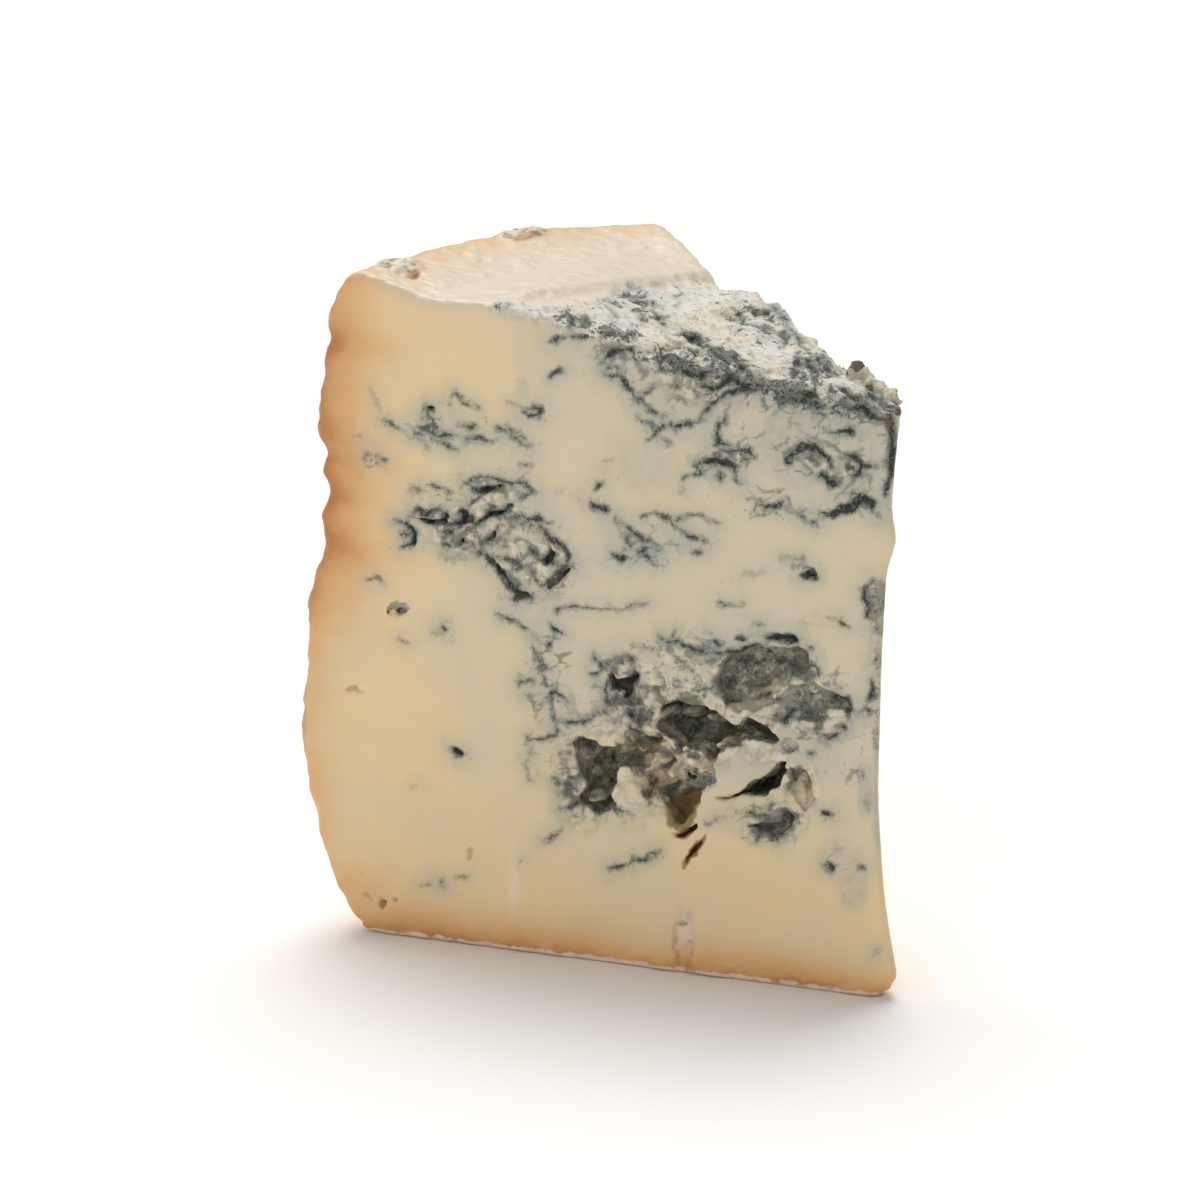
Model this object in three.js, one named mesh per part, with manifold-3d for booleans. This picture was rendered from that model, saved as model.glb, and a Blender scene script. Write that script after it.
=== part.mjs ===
// A wedge of blue-veined cheese: part of a half-height slice of a drum-shaped wheel.
// Units are millimetres and +Z is up. The wedge stands on its flat underside.
//
// The shape is worked out in "wheel" axes: X runs along the front cut from the top rim of the
// rind (x = 0) to the tip, Y runs from the front cut into the wedge, and Z is the height.
// At the end everything is moved so that the origin is the middle of the underside's box.

import * as THREE from 'three';
import { mergeVertices } from 'three/addons/utils/BufferGeometryUtils.js';
import Module from 'manifold-3d';

const wasm = await Module();
wasm.setup();

// ---- Driving dimensions -------------------------------------------------------------------

const WHEEL_RADIUS = 100; // at the top rim of the rind
const WEDGE_ANGLE = THREE.MathUtils.degToRad(37.5); // how far the rind runs round the wheel
const RIM_HEIGHT = 97; // underside to the top rim

// The tip is trimmed by two narrow facets between the front cut and the back cut.
const TIP_FRONT = new THREE.Vector2(79.7, 0);
const TIP_MIDDLE = new THREE.Vector2(81.0, 1.2);
const TIP_BACK = new THREE.Vector2(79.5, 4.4);

const BELLY_HEIGHT = 31; // the rind is widest here
const BELLY_BULGE = 8.6; // beyond the wheel radius
const FOOT_TUCK = 11.6; // how far the rind draws in from the belly to the underside
const SHOULDER_SLOPE = 0.069; // lean of the rind above the belly
const RIM_ROUND_START = 88; // the rim rounds over above this height
const RIM_ROUND_DEPTH = 4.1;

// Grooves that the cheese cloth left round the rind: height, depth and half width.
const RIND_GROOVES = [
  [57.0, 2.3, 3.5],
  [64.5, 1.8, 3.5],
  [70.0, 1.2, 1.8],
  [86.5, 0.9, 1.8],
];

const TOP_DISH = 3.5; // the top lies this much below the rim
const TOP_DISH_WIDTH = 14;
const TOP_SLOPE_START = 24; // beyond this x the top falls away towards the tip
const TOP_SLOPE = 0.172;
const TEAR_STEP = 0.9; // the smooth part of the top ends in a small torn step
const TEAR_FOOT_X = 21; // where that step meets the front cut
const TEAR_LEAN = 0.28; // how far it drifts in x for each millimetre of y

// Swells and dips of the top: x, y, height and radius.
const TOP_MOUNDS = [
  [7, 40, 1.2, 20],
  [29, 54, 1.2, 6],
  [38, 45, -1.3, 3.5],
  [51, 32, 2.6, 10],
  [62, 14, -0.7, 6],
  [34, 12, 0.6, 6],
];

const GRID = { along: 26, across: 12, up: 30 }; // faces along the three directions of the block
const CUT_WAVE = 0.35; // unevenness of the cut faces
const TOP_RELIEF = 0.75; // folds of the torn, mouldy part of the top

const CHEESE_COLOUR = 0xe0cda6;

// ---- Small helpers ------------------------------------------------------------------------

function smoothStep(low, high, value) {
  return THREE.MathUtils.smoothstep(value, low, high);
}

function bell(distance, halfWidth) {
  return Math.exp(-((distance / halfWidth) ** 2));
}

function latticeValue(ix, iy, iz, seed) {
  const mixed = Math.sin(ix * 127.1 + iy * 311.7 + iz * 74.7 + seed * 53.3) * 43758.5453;
  return 2 * (mixed - Math.floor(mixed)) - 1;
}

// Smooth seeded noise from -1 to 1; one hump is about `size` millimetres across.
function noise(point, size, seed) {
  const x = point.x / size;
  const y = point.y / size;
  const z = point.z / size;
  const cell = [Math.floor(x), Math.floor(y), Math.floor(z)];
  const fade = [x - cell[0], y - cell[1], z - cell[2]].map((t) => t * t * (3 - 2 * t));
  let sum = 0;
  for (let corner = 0; corner < 8; corner += 1) {
    const step = [corner & 1, (corner >> 1) & 1, (corner >> 2) & 1];
    const share = step.reduce((total, on, axis) => total * (on ? fade[axis] : 1 - fade[axis]), 1);
    sum += share * latticeValue(cell[0] + step[0], cell[1] + step[1], cell[2] + step[2], seed);
  }
  return sum;
}

// ---- The block: rind, two cuts, top, underside and tip -------------------------------------

function rindBulge(height) {
  let bulge = BELLY_BULGE - SHOULDER_SLOPE * (height - BELLY_HEIGHT);
  if (height < BELLY_HEIGHT) {
    const below = (BELLY_HEIGHT - height) / BELLY_HEIGHT;
    bulge = BELLY_BULGE - FOOT_TUCK * (1 - (1 - below * below) ** 0.69);
  }
  const over = Math.max(0, (height - RIM_ROUND_START) / (RIM_HEIGHT - RIM_ROUND_START));
  bulge -= RIM_ROUND_DEPTH * over ** 1.7;
  for (const [grooveHeight, depth, halfWidth] of RIND_GROOVES) {
    bulge -= depth * bell(height - grooveHeight, halfWidth);
  }
  return bulge;
}

// The tip hollows in the middle of its height and spreads at the top and the foot.
function tipReach(height) {
  const above = Math.max(0, height - 37) / 47;
  const below = Math.max(0, 37 - height) / 34;
  const footRound = 2.2 * bell(height, 2);
  const knob = 0.9 * bell(height - 65, 3);
  return 2.6 * above * above + 3.2 * below * below + knob - footRound;
}

function rindPoint(across, height) {
  const angle = across * WEDGE_ANGLE;
  const radius = WHEEL_RADIUS + rindBulge(height);
  return new THREE.Vector2(WHEEL_RADIUS - radius * Math.cos(angle), radius * Math.sin(angle));
}

function tipPoint(across, height) {
  const onBackFacet = across > 0.5;
  const from = onBackFacet ? TIP_MIDDLE : TIP_FRONT;
  const to = onBackFacet ? TIP_BACK : TIP_MIDDLE;
  const point = from.clone().lerp(to, onBackFacet ? 2 * across - 1 : 2 * across);
  point.x += tipReach(height);
  return point;
}

function tearDistance(x, y) {
  return x - TEAR_FOOT_X - TEAR_LEAN * y;
}

function topHeight(x, y) {
  const inside = WHEEL_RADIUS - Math.hypot(WHEEL_RADIUS - x, y);
  const torn = smoothStep(0, 3, tearDistance(x, y));
  let height = RIM_HEIGHT - TOP_DISH * smoothStep(0, TOP_DISH_WIDTH, inside);
  height -= TOP_SLOPE * Math.max(0, x - TOP_SLOPE_START);
  height += TEAR_STEP * (1 - torn) * smoothStep(4, 12, inside) * smoothStep(0, 10, y);
  for (const [moundX, moundY, rise, radius] of TOP_MOUNDS) {
    height += rise * bell(Math.hypot(x - moundX, y - moundY), radius);
  }
  // The folds run along the wedge, roughly side by side with the back cut.
  const foldPlace = new THREE.Vector3((x + y) * 0.35, (y - x) * 0.9, 0);
  return height + torn * TOP_RELIEF * noise(foldPlace, 3.6, 5);
}

// `along` runs from the rind to the tip, `across` from the front cut to the back cut and `up`
// from the underside to the top, each from 0 to 1.
function blockPoint(along, across, up) {
  const rind = rindPoint(across, up * RIM_HEIGHT);
  const tipTop = topHeight(TIP_BACK.x, TIP_BACK.y);
  const tip = tipPoint(across, up * tipTop);
  const plan = rind.lerp(tip, along);
  const place = new THREE.Vector3(plan.x, plan.y, up * topHeight(plan.x, plan.y));
  const wave = noise(place, 13, 1);
  place.x += CUT_WAVE * noise(place, 9, 2);
  place.y += CUT_WAVE * wave;
  return place;
}

function blockGeometry() {
  const block = new THREE.BoxGeometry(1, 1, 1, GRID.along, GRID.across, GRID.up);
  const position = block.attributes.position;
  for (let i = 0; i < position.count; i += 1) {
    const corner = new THREE.Vector3().fromBufferAttribute(position, i).addScalar(0.5);
    const place = blockPoint(corner.x, corner.y, corner.z);
    position.setXYZ(i, place.x, place.y, place.z);
  }
  return block;
}

// ---- Lumps and pockets: uneven balls, stretched and turned -----------------------------------

// A ball of radius 1 with a rough surface, stretched to `halfSizes`, turned in the plane of the
// front cut by `tilt` degrees and moved to `centre`.
function roughBall(centre, halfSizes, tilt, { detail = 3, roughness = 0.22, seed = 7 } = {}) {
  const ball = new THREE.IcosahedronGeometry(1, detail);
  const position = ball.attributes.position;
  const grain = 0.75;
  for (let i = 0; i < position.count; i += 1) {
    const direction = new THREE.Vector3().fromBufferAttribute(position, i);
    const rough = 1 + roughness * noise(direction, grain, seed + centre[0]);
    position.setXYZ(i, direction.x * rough, direction.y * rough, direction.z * rough);
  }
  ball.scale(...halfSizes);
  ball.rotateY(-THREE.MathUtils.degToRad(tilt));
  ball.translate(...centre);
  return ball;
}

function solidOf(geometry) {
  const bare = geometry.clone();
  bare.deleteAttribute('normal');
  bare.deleteAttribute('uv');
  const merged = mergeVertices(bare, 1e-4);
  const vertProperties = new Float32Array(merged.attributes.position.array);
  const triVerts = new Uint32Array(merged.index.array);
  return new wasm.Manifold(new wasm.Mesh({ numProp: 3, vertProperties, triVerts }));
}

function joined(geometries) {
  return geometries.map(solidOf).reduce((whole, piece) => whole.add(piece));
}

// A pocket gets finer faces each time half length times half height passes one of these.
const POCKET_SIZES = [2.2, 8];

// Each row: x, z, half length, half height, depth into the cut, tilt in degrees.

// The big open cave low in the front cut, where curd did not knit together.
const FRONT_POCKETS = [
  [42.2, 41.2, 2.5, 1.3, 7.0, 0],
  [42.4, 39.2, 1.0, 0.9, 3.0, 30],
  [51.6, 37.3, 4.3, 2.6, 8.0, 8],
  [53.4, 34.2, 6.6, 1.5, 12.0, -14],
  [57.8, 36.4, 4.2, 1.7, 4.5, 0],
  [62.2, 36.0, 5.0, 1.5, 9.0, 5],
  [54.9, 31.9, 2.0, 1.3, 4.0, 20],
  [65.0, 46.2, 5.6, 2.1, 7.0, 4],
  [61.8, 43.2, 4.4, 3.0, 4.5, 15],
  [69.4, 42.2, 3.2, 2.0, 2.2, -10],
  [37.9, 27.2, 3.5, 5.9, 9.0, -8],
  [43.4, 30.9, 5.2, 2.4, 6.5, 5],
  [47.3, 29.2, 3.4, 4.4, 2.6, 10],
  [52.0, 23.8, 2.7, 3.9, 5.5, -12],
  [51.9, 28.7, 1.4, 0.8, 4.0, -42],
  [64.2, 29.1, 4.0, 1.6, 9.0, 40],
  [60.2, 26.5, 3.4, 0.7, 4.0, 12],
  [65.4, 22.8, 3.2, 1.7, 2.2, 25],
  [68.0, 33.5, 2.0, 1.2, 3.0, 15],
  [53.4, 17.7, 3.2, 0.7, 2.5, 56],
];

// Ragged gaps higher up, near the rind.
const UPPER_POCKETS = [
  [11.4, 61.9, 1.7, 0.8, 2.5, 0],
  [14.4, 62.4, 0.9, 1.3, 2.5, 0],
  [17.6, 62.7, 2.6, 1.0, 3.5, 18],
  [8.9, 59.8, 0.8, 1.7, 2.5, 0],
  [16.4, 59.2, 1.6, 0.7, 2.0, 40],
  [20.9, 66.8, 1.5, 1.0, 3.5, 15],
  [23.2, 64.4, 2.8, 0.6, 2.0, 24],
  [21.4, 60.4, 2.0, 0.6, 2.0, 50],
  [30.3, 57.4, 1.5, 0.9, 3.0, 15],
  [31.9, 55.4, 2.6, 0.6, 2.0, 45],
  [23.6, 55.2, 2.8, 0.6, 1.5, -52],
  [26.4, 52.2, 1.7, 0.7, 1.5, 5],
  [7.3, 48.4, 1.9, 0.9, 3.0, 5],
  [16.4, 28.5, 1.1, 0.7, 2.0, -20],
  [70.2, 59.1, 1.1, 0.8, 2.0, 20],
  [0.0, 36.2, 1.3, 0.5, 1.2, 0],
  [4.4, 4.8, 1.0, 1.0, 1.2, 0],
];

// Curd that still stands inside those pockets: x, z, half width, half height, setback, tilt.
const FRONT_CURDS = [
  [36.3, 30.4, 1.8, 2.1, 1.4, 0],
  [37.0, 26.4, 1.6, 2.1, 1.2, 0],
  [38.0, 23.1, 2.3, 1.5, 1.6, 0],
  [43.3, 25.6, 2.1, 3.6, 0.2, 22],
  [46.6, 33.9, 1.4, 1.6, 0.3, 0],
  [47.6, 30.6, 1.7, 1.9, 0.9, 30],
  [49.8, 28.9, 1.4, 1.2, 0.2, -20],
  [57.0, 33.3, 2.1, 0.9, 0.9, 22],
  [60.8, 38.9, 4.0, 0.8, 0.4, 14],
  [67.4, 33.2, 1.9, 0.8, 0.2, 12],
  [66.0, 43.0, 1.6, 1.7, 0.8, 20],
];

// The back cut was never exposed to the same knife, but has the same kind of open curd.
// Each row: share of the way from the rind to the tip, z, half length, half height, depth, tilt.
const BACK_POCKETS = [
  [0.20, 66, 5.2, 2.4, 4.0, 12],
  [0.27, 62, 2.6, 1.6, 3.0, -20],
  [0.46, 40, 6.4, 2.8, 6.0, -6],
  [0.58, 34, 4.6, 3.4, 5.0, 24],
  [0.37, 31, 3.4, 2.2, 4.5, 30],
  [0.55, 45, 3.6, 1.5, 4.0, 10],
  [0.74, 57, 2.0, 1.0, 2.0, 0],
  [0.30, 22, 1.4, 0.9, 1.8, 0],
];

// Needle channels that open on the top near the rim: x, y, half lengths and depth.
const TOP_DIMPLES = [
  [4.2, 8.6, 2.2, 1.9, 1.6],
  [8.6, 38.6, 2.3, 1.6, 1.4],
  [33.5, 23.5, 1.4, 0.8, 1.6],
  [47.5, 10.8, 2.0, 1.0, 1.3],
  [40.5, 17.0, 1.6, 0.9, 1.0],
  [59.5, 9.0, 1.8, 1.0, 1.0],
];

// Crumbs that cling to the top near the tip: x, y, rise of the centre over the top, radius.
const TIP_CRUMBS = [
  [69.8, 12.4, 0.3, 1.5],
  [72.9, 10.2, 0.1, 1.4],
  [75.4, 7.6, 0.1, 1.5],
  [78.0, 5.4, -0.2, 1.2],
];

function frontPocket([x, z, halfLength, halfHeight, depth, tilt], index) {
  const detail = POCKET_SIZES.filter((size) => halfLength * halfHeight > size).length;
  return roughBall([x, 0, z], [halfLength, depth, halfHeight], tilt, { detail, seed: 20 + index });
}

function frontCurd([x, z, halfWidth, halfHeight, setback, tilt], index) {
  const reach = 13; // deep enough to root every lump in the wall behind it
  const centre = [x, setback + reach, z];
  const halfSizes = [halfWidth * 1.15, reach, halfHeight * 1.15];
  return roughBall(centre, halfSizes, tilt, { detail: 1, roughness: 0.12, seed: 60 + index });
}

function backPocket([share, z, halfLength, halfHeight, depth, tilt], index) {
  const rind = rindPoint(1, z);
  const tip = tipPoint(1, z);
  const place = rind.clone().lerp(tip, share);
  const heading = Math.atan2(tip.y - rind.y, tip.x - rind.x);
  const options = { detail: 2, seed: 90 + index };
  const pocket = roughBall([0, 0, 0], [halfLength, depth, halfHeight], tilt, options);
  pocket.rotateZ(heading);
  pocket.translate(place.x, place.y, z);
  return pocket;
}

function topDimple([x, y, halfLength, halfWidth, depth], index) {
  const centre = [x, y, topHeight(x, y)];
  return roughBall(centre, [halfLength, halfWidth, depth], 0, { detail: 1, seed: 120 + index });
}

function tipCrumb([x, y, rise, radius], index) {
  const centre = [x, y, topHeight(x, y) + rise];
  const options = { detail: 1, roughness: 0.35, seed: 150 + index };
  return roughBall(centre, [radius, radius, radius], 0, options);
}

// ---- The wedge -------------------------------------------------------------------------------

function wedgeSolid() {
  const block = solidOf(blockGeometry()).add(joined(TIP_CRUMBS.map(tipCrumb)));
  const cave = joined(FRONT_POCKETS.map(frontPocket)).subtract(joined(FRONT_CURDS.map(frontCurd)));
  const hollows = [
    cave,
    joined(UPPER_POCKETS.map(frontPocket)),
    joined(BACK_POCKETS.map(backPocket)),
    joined(TOP_DIMPLES.map(topDimple)),
  ];
  return hollows.reduce((wedge, hollow) => wedge.subtract(hollow), block);
}

function geometryOf(solid) {
  const mesh = solid.getMesh();
  const geometry = new THREE.BufferGeometry();
  geometry.setAttribute('position', new THREE.BufferAttribute(mesh.vertProperties, 3));
  geometry.setIndex(new THREE.BufferAttribute(mesh.triVerts, 1));
  return geometry;
}

function cheeseWedge() {
  const geometry = geometryOf(wedgeSolid());
  const material = new THREE.MeshStandardMaterial({
    color: CHEESE_COLOUR,
    roughness: 0.55,
    metalness: 0,
  });
  const wedge = new THREE.Mesh(geometry, material);
  wedge.name = 'cheese_wedge';
  const box = new THREE.Box3().setFromBufferAttribute(geometry.attributes.position);
  const middle = box.getCenter(new THREE.Vector3());
  wedge.position.set(-middle.x, -middle.y, -box.min.z);
  return wedge;
}

const part = new THREE.Group();
part.add(cheeseWedge());

export default part;
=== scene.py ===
"""The looks of a wedge of blue-veined cheese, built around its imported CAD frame.

The shape is a distance field in millimetres, in the same "wheel" axes as the CAD source: X runs
along the front cut from the rind's top rim (x = 0) to the tip, Y runs from the front cut into
the wedge and Z is the height. The field is turned into one dense mesh, every vertex gets a few
numbers that say what grows there, and one material turns those numbers into colour and gloss.
"""

import math

import bpy
import numpy as np
import openvdb
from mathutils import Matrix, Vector


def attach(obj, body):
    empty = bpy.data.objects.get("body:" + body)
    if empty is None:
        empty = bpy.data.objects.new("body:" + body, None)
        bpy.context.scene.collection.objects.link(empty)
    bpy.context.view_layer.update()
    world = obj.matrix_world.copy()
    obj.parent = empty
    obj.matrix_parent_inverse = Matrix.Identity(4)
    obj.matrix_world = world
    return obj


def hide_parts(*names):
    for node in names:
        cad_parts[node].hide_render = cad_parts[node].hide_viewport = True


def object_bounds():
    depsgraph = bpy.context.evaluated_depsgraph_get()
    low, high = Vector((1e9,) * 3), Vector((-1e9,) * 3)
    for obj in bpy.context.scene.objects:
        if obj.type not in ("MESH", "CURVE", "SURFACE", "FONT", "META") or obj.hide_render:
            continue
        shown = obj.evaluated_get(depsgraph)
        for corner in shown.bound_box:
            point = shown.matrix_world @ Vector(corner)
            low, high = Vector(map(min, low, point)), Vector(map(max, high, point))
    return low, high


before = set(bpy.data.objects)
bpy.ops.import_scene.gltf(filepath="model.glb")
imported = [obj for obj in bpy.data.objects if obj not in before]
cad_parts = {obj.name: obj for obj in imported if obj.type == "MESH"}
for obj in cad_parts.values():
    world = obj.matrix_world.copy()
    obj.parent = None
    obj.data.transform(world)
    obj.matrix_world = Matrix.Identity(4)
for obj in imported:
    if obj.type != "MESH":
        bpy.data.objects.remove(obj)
CAD_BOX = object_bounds()

MM = 0.001
SEED = 11  # every noise adds an offset of its own
NOISE_ORIGIN = 1000.0  # keeps every cell number of a noise above zero

# ---- Driving dimensions in millimetres, close to those of the CAD source ---------------------

WHEEL_RADIUS = 100.0
WEDGE_ANGLE = math.radians(37.5)
RIM_HEIGHT = 97.0
TIP_FRONT = (79.7, 0.0)
TIP_MIDDLE = (81.0, 1.2)
TIP_BACK = (79.5, 4.4)

BELLY_HEIGHT = 31.0
BELLY_BULGE = 8.6
FOOT_TUCK = 11.6
SHOULDER_SLOPE = 0.069
RIM_ROUND_START = 88.0
RIM_ROUND_DEPTH = 4.1

# Each row: height, depth and half width of a groove pressed round the rind.
RIND_GROOVES = ((57.0, 2.3, 3.5), (64.5, 1.8, 3.5), (70.0, 1.2, 1.8), (86.5, 0.9, 1.8))

# The tip is narrowest at its waist, and reaches further out above and below it.
TIP_WAIST = 37.0
TIP_TOP_FLARE, TIP_TOP_SPAN = 2.6, 47.0
TIP_FOOT_FLARE, TIP_FOOT_SPAN = 3.2, 34.0
TIP_KNOB_HEIGHT, TIP_KNOB = 65.0, 0.9
TIP_FOOT_TUCK = 2.2

TOP_DISH = 3.5
TOP_DISH_WIDTH = 14.0
TOP_SLOPE_START = 24.0
TOP_SLOPE = 0.172
TEAR_STEP = 0.9
TEAR_FOOT_X = 21.0
TEAR_LEAN = 0.28

# Each row: x, y, rise and radius of a mound or a dip of the top.
TOP_MOUNDS = (
    (7, 40, 1.2, 20),
    (29, 54, 1.2, 6),
    (39.4, 43.8, -1.3, 3.5),
    (51, 32, 2.7, 10),
    (62, 14, -0.4, 6),
    (66, 18, 1.2, 9),
    (34, 12, 0.6, 6),
)

# The distance field is sampled this finely near the front cut, and more coarsely behind it.
STEP = 0.34
FINE_DEPTH = 15.0
COARSE_FACTOR = 1.7
MARGIN = 1.4
BAND = 1.6  # relief is worked out this close to the surface

# ---- Small helpers ---------------------------------------------------------------------------


def smooth_step(low, high, value):
    """0 at `low` and 1 at `high`, with a smooth rise between."""
    t = np.clip((value - low) / (high - low), 0.0, 1.0)
    return t * t * (3.0 - 2.0 * t)


def bell(distance, half_width):
    """1 at no distance, falling to about a third at `half_width`."""
    return np.exp(-((distance / half_width) ** 2))


def smooth_max(a, b, width):
    """The larger of two distances, blended over `width` so that their edge is rounded."""
    t = np.clip(0.5 + 0.5 * (a - b) / width, 0.0, 1.0)
    return b + (a - b) * t + width * t * (1.0 - t)


def lattice(ix, iy, iz, seed):
    """A repeatable random value from -1 to 1 for each whole-number place."""
    mixed = ix.astype(np.uint32) * np.uint32(73856093)
    mixed ^= iy.astype(np.uint32) * np.uint32(19349663)
    mixed ^= iz.astype(np.uint32) * np.uint32(83492791)
    mixed ^= np.uint32((seed * 2654435761) % 4294967296)
    mixed ^= mixed >> np.uint32(15)
    mixed *= np.uint32(2246822519)
    mixed ^= mixed >> np.uint32(13)
    return (mixed & np.uint32(65535)).astype(np.float32) / 32767.5 - 1.0


def noise(points, size, seed):
    """Smooth value noise from -1 to 1. `size` is one hump, or three for a stretched grain."""
    scaled = points / np.asarray(size, dtype=np.float32) + NOISE_ORIGIN
    cell = np.floor(scaled)
    part = scaled - cell
    fade = part * part * (3.0 - 2.0 * part)
    ix, iy, iz = (cell[:, axis].astype(np.int64) for axis in range(3))
    fx, fy, fz = fade[:, 0], fade[:, 1], fade[:, 2]

    def row(dy, dz):
        low = lattice(ix, iy + dy, iz + dz, seed)
        high = lattice(ix + 1, iy + dy, iz + dz, seed)
        return low + (high - low) * fx

    near = row(0, 0) * (1.0 - fy) + row(1, 0) * fy
    far = row(0, 1) * (1.0 - fy) + row(1, 1) * fy
    return near * (1.0 - fz) + far * fz


def layered_noise(points, size, seed, layers=3, gain=0.5):
    """Noise with finer layers added, each half the size and `gain` of the strength."""
    total = np.zeros(len(points), dtype=np.float32)
    share = 1.0
    for layer in range(layers):
        total += share * noise(points, np.asarray(size) / 2.0**layer, seed + 17 * layer)
        share *= gain
    return total


def bumps(points, rows):
    """Noises added up. Each row: height and size in millimetres, and an offset to the seed."""
    return sum(height * noise(points, size, SEED + offset) for height, size, offset in rows)


def cell_distances(points, size, seed):
    """Distances to the nearest and the next nearest of some scattered centres, in cells."""
    scaled = points / np.asarray(size, dtype=np.float32) + NOISE_ORIGIN
    base = np.floor(scaled - 0.5)
    nearest = np.full(len(points), 9.0, dtype=np.float32)
    second = nearest.copy()
    for corner in np.ndindex(2, 2, 2):
        cell = base + np.asarray(corner, dtype=np.float32)
        ix, iy, iz = (cell[:, axis].astype(np.int64) for axis in range(3))
        shift = np.stack([lattice(ix, iy, iz, seed + axis) for axis in range(3)], axis=1)
        distance = np.sum((scaled - cell - 0.5 - 0.4 * shift) ** 2, axis=1)
        second = np.minimum(second, np.maximum(nearest, distance))
        nearest = np.minimum(nearest, distance)
    return np.sqrt(nearest), np.sqrt(second)


# ---- The block: rind, cuts, top, underside and tip -------------------------------------------


def rind_bulge(height):
    """How far the rind stands out past the top rim's circle at each height."""
    below = np.clip((BELLY_HEIGHT - height) / BELLY_HEIGHT, 0.0, 0.999)
    tuck = FOOT_TUCK * (1.0 - (1.0 - below * below) ** 0.69)
    bulge = BELLY_BULGE - SHOULDER_SLOPE * np.maximum(height - BELLY_HEIGHT, 0.0) - tuck
    over = np.clip((height - RIM_ROUND_START) / (RIM_HEIGHT - RIM_ROUND_START), 0.0, 1.4)
    bulge = bulge - RIM_ROUND_DEPTH * over**1.7
    for groove_height, depth, half_width in RIND_GROOVES:
        bulge = bulge - depth * bell(height - groove_height, half_width)
    return bulge


def tip_reach(height):
    """How much further out the tip is at each height than at its waist."""
    above = np.maximum(0.0, height - TIP_WAIST) / TIP_TOP_SPAN
    below = np.maximum(0.0, TIP_WAIST - height) / TIP_FOOT_SPAN
    knob = TIP_KNOB * bell(height - TIP_KNOB_HEIGHT, 3.0)
    tuck = TIP_FOOT_TUCK * bell(height, 2.0)
    return TIP_TOP_FLARE * above * above + TIP_FOOT_FLARE * below * below + knob - tuck


def tear_distance(x, y):
    """How far towards the tip each plan place is from the foot of the torn top's step."""
    return x - TEAR_FOOT_X - TEAR_LEAN * y


def top_height(x, y):
    inside = WHEEL_RADIUS - np.hypot(WHEEL_RADIUS - x, y)
    plateau = 1.0 - smooth_step(0.0, 3.0, tear_distance(x, y))
    height = RIM_HEIGHT - TOP_DISH * smooth_step(0.0, TOP_DISH_WIDTH, inside)
    height = height - TOP_SLOPE * np.maximum(0.0, x - TOP_SLOPE_START)
    height = height + TEAR_STEP * plateau * smooth_step(4, 12, inside) * smooth_step(0, 10, y)
    for mound_x, mound_y, rise, radius in TOP_MOUNDS:
        height = height + rise * bell(np.hypot(x - mound_x, y - mound_y), radius)
    return height


def side_of_line(x, y, start, end):
    """Distance outside the upright plane through two plan points, walking with it on the left."""
    along_x = end[0] - start[0]
    along_y = end[1] - start[1]
    length = np.hypot(along_x, along_y)
    return ((x - start[0]) * along_y - (y - start[1]) * along_x) / length


def face_distances(points):
    """How far outside each face of the block every point lies."""
    x, y, z = points.T
    top = top_height(x, y)
    level = np.clip(z / top, -0.02, 1.05)
    rind_level = level * RIM_HEIGHT
    tip_shift = tip_reach(level * float(top_height(*TIP_BACK)))
    radius = WHEEL_RADIUS + rind_bulge(rind_level)
    corner = (WHEEL_RADIUS - radius * math.cos(WEDGE_ANGLE), radius * math.sin(WEDGE_ANGLE))
    facets = [(px + tip_shift, py) for px, py in (TIP_FRONT, TIP_MIDDLE, TIP_BACK)]
    return {
        "front": -y,
        "rind": np.hypot(WHEEL_RADIUS - x, y) - radius,
        "top": z - top,
        "underside": -z,
        "back": side_of_line(x, y, facets[2], corner),
        "tip_front": side_of_line(x, y, facets[0], facets[1]),
        "tip_back": side_of_line(x, y, facets[1], facets[2]),
    }


# Widths of the roundings. The front edge of the top is broken between two places on the cut.
BROKEN_EDGE = (42.0, 76.0)
BROKEN_ROUND = 5.5
KNIFE_ROUND = 1.3
RIND_ROUND = 1.3
TIP_ROUND = 1.6
FOOT_ROUND = 1.2


def block_distance(points, faces):
    """How far outside the plain wedge with rounded edges every point lies."""
    towards_front = smooth_step(-4.0, 4.0, faces["front"] - faces["back"])
    broken = broken_edge_share(points) * towards_front
    top_round = KNIFE_ROUND + (BROKEN_ROUND - KNIFE_ROUND) * broken
    block = smooth_max(faces["front"], faces["tip_front"], TIP_ROUND)
    block = smooth_max(block, faces["tip_back"], TIP_ROUND)
    block = smooth_max(block, faces["back"], KNIFE_ROUND)
    block = smooth_max(block, faces["rind"], RIND_ROUND)
    block = smooth_max(block, faces["top"], top_round)
    return smooth_max(block, faces["underside"], FOOT_ROUND)


# ---- Relief of the faces ---------------------------------------------------------------------

GRAIN_AXES = (0.70, -0.71)  # the folds of the torn top run this way in plan
TOP_FOLDS = 0.62

# Rows for bumps().
TEAR_EDGE = ((2.4, 6.0, 31), (1.0, 2.2, 32))
WAVES = ((0.3, 13.0, 0), (0.03, (2.6, 2.6, 1.2), 9))
FOOT_FLAKES = ((0.5, (1.6, 1.6, 0.7), 8),)
SMOOTH_TOP = ((0.13, 1.8, 4), (0.12, 0.85, 5))
RIND_WAVES = ((0.30, 3.4, 6), (0.16, 1.3, 7))
WOBBLE_ACROSS = ((0.30, 1.3, 71), (0.22, 0.7, 72))
WOBBLE_UPWARD = ((0.30, 1.3, 73), (0.22, 0.7, 74))


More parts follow.
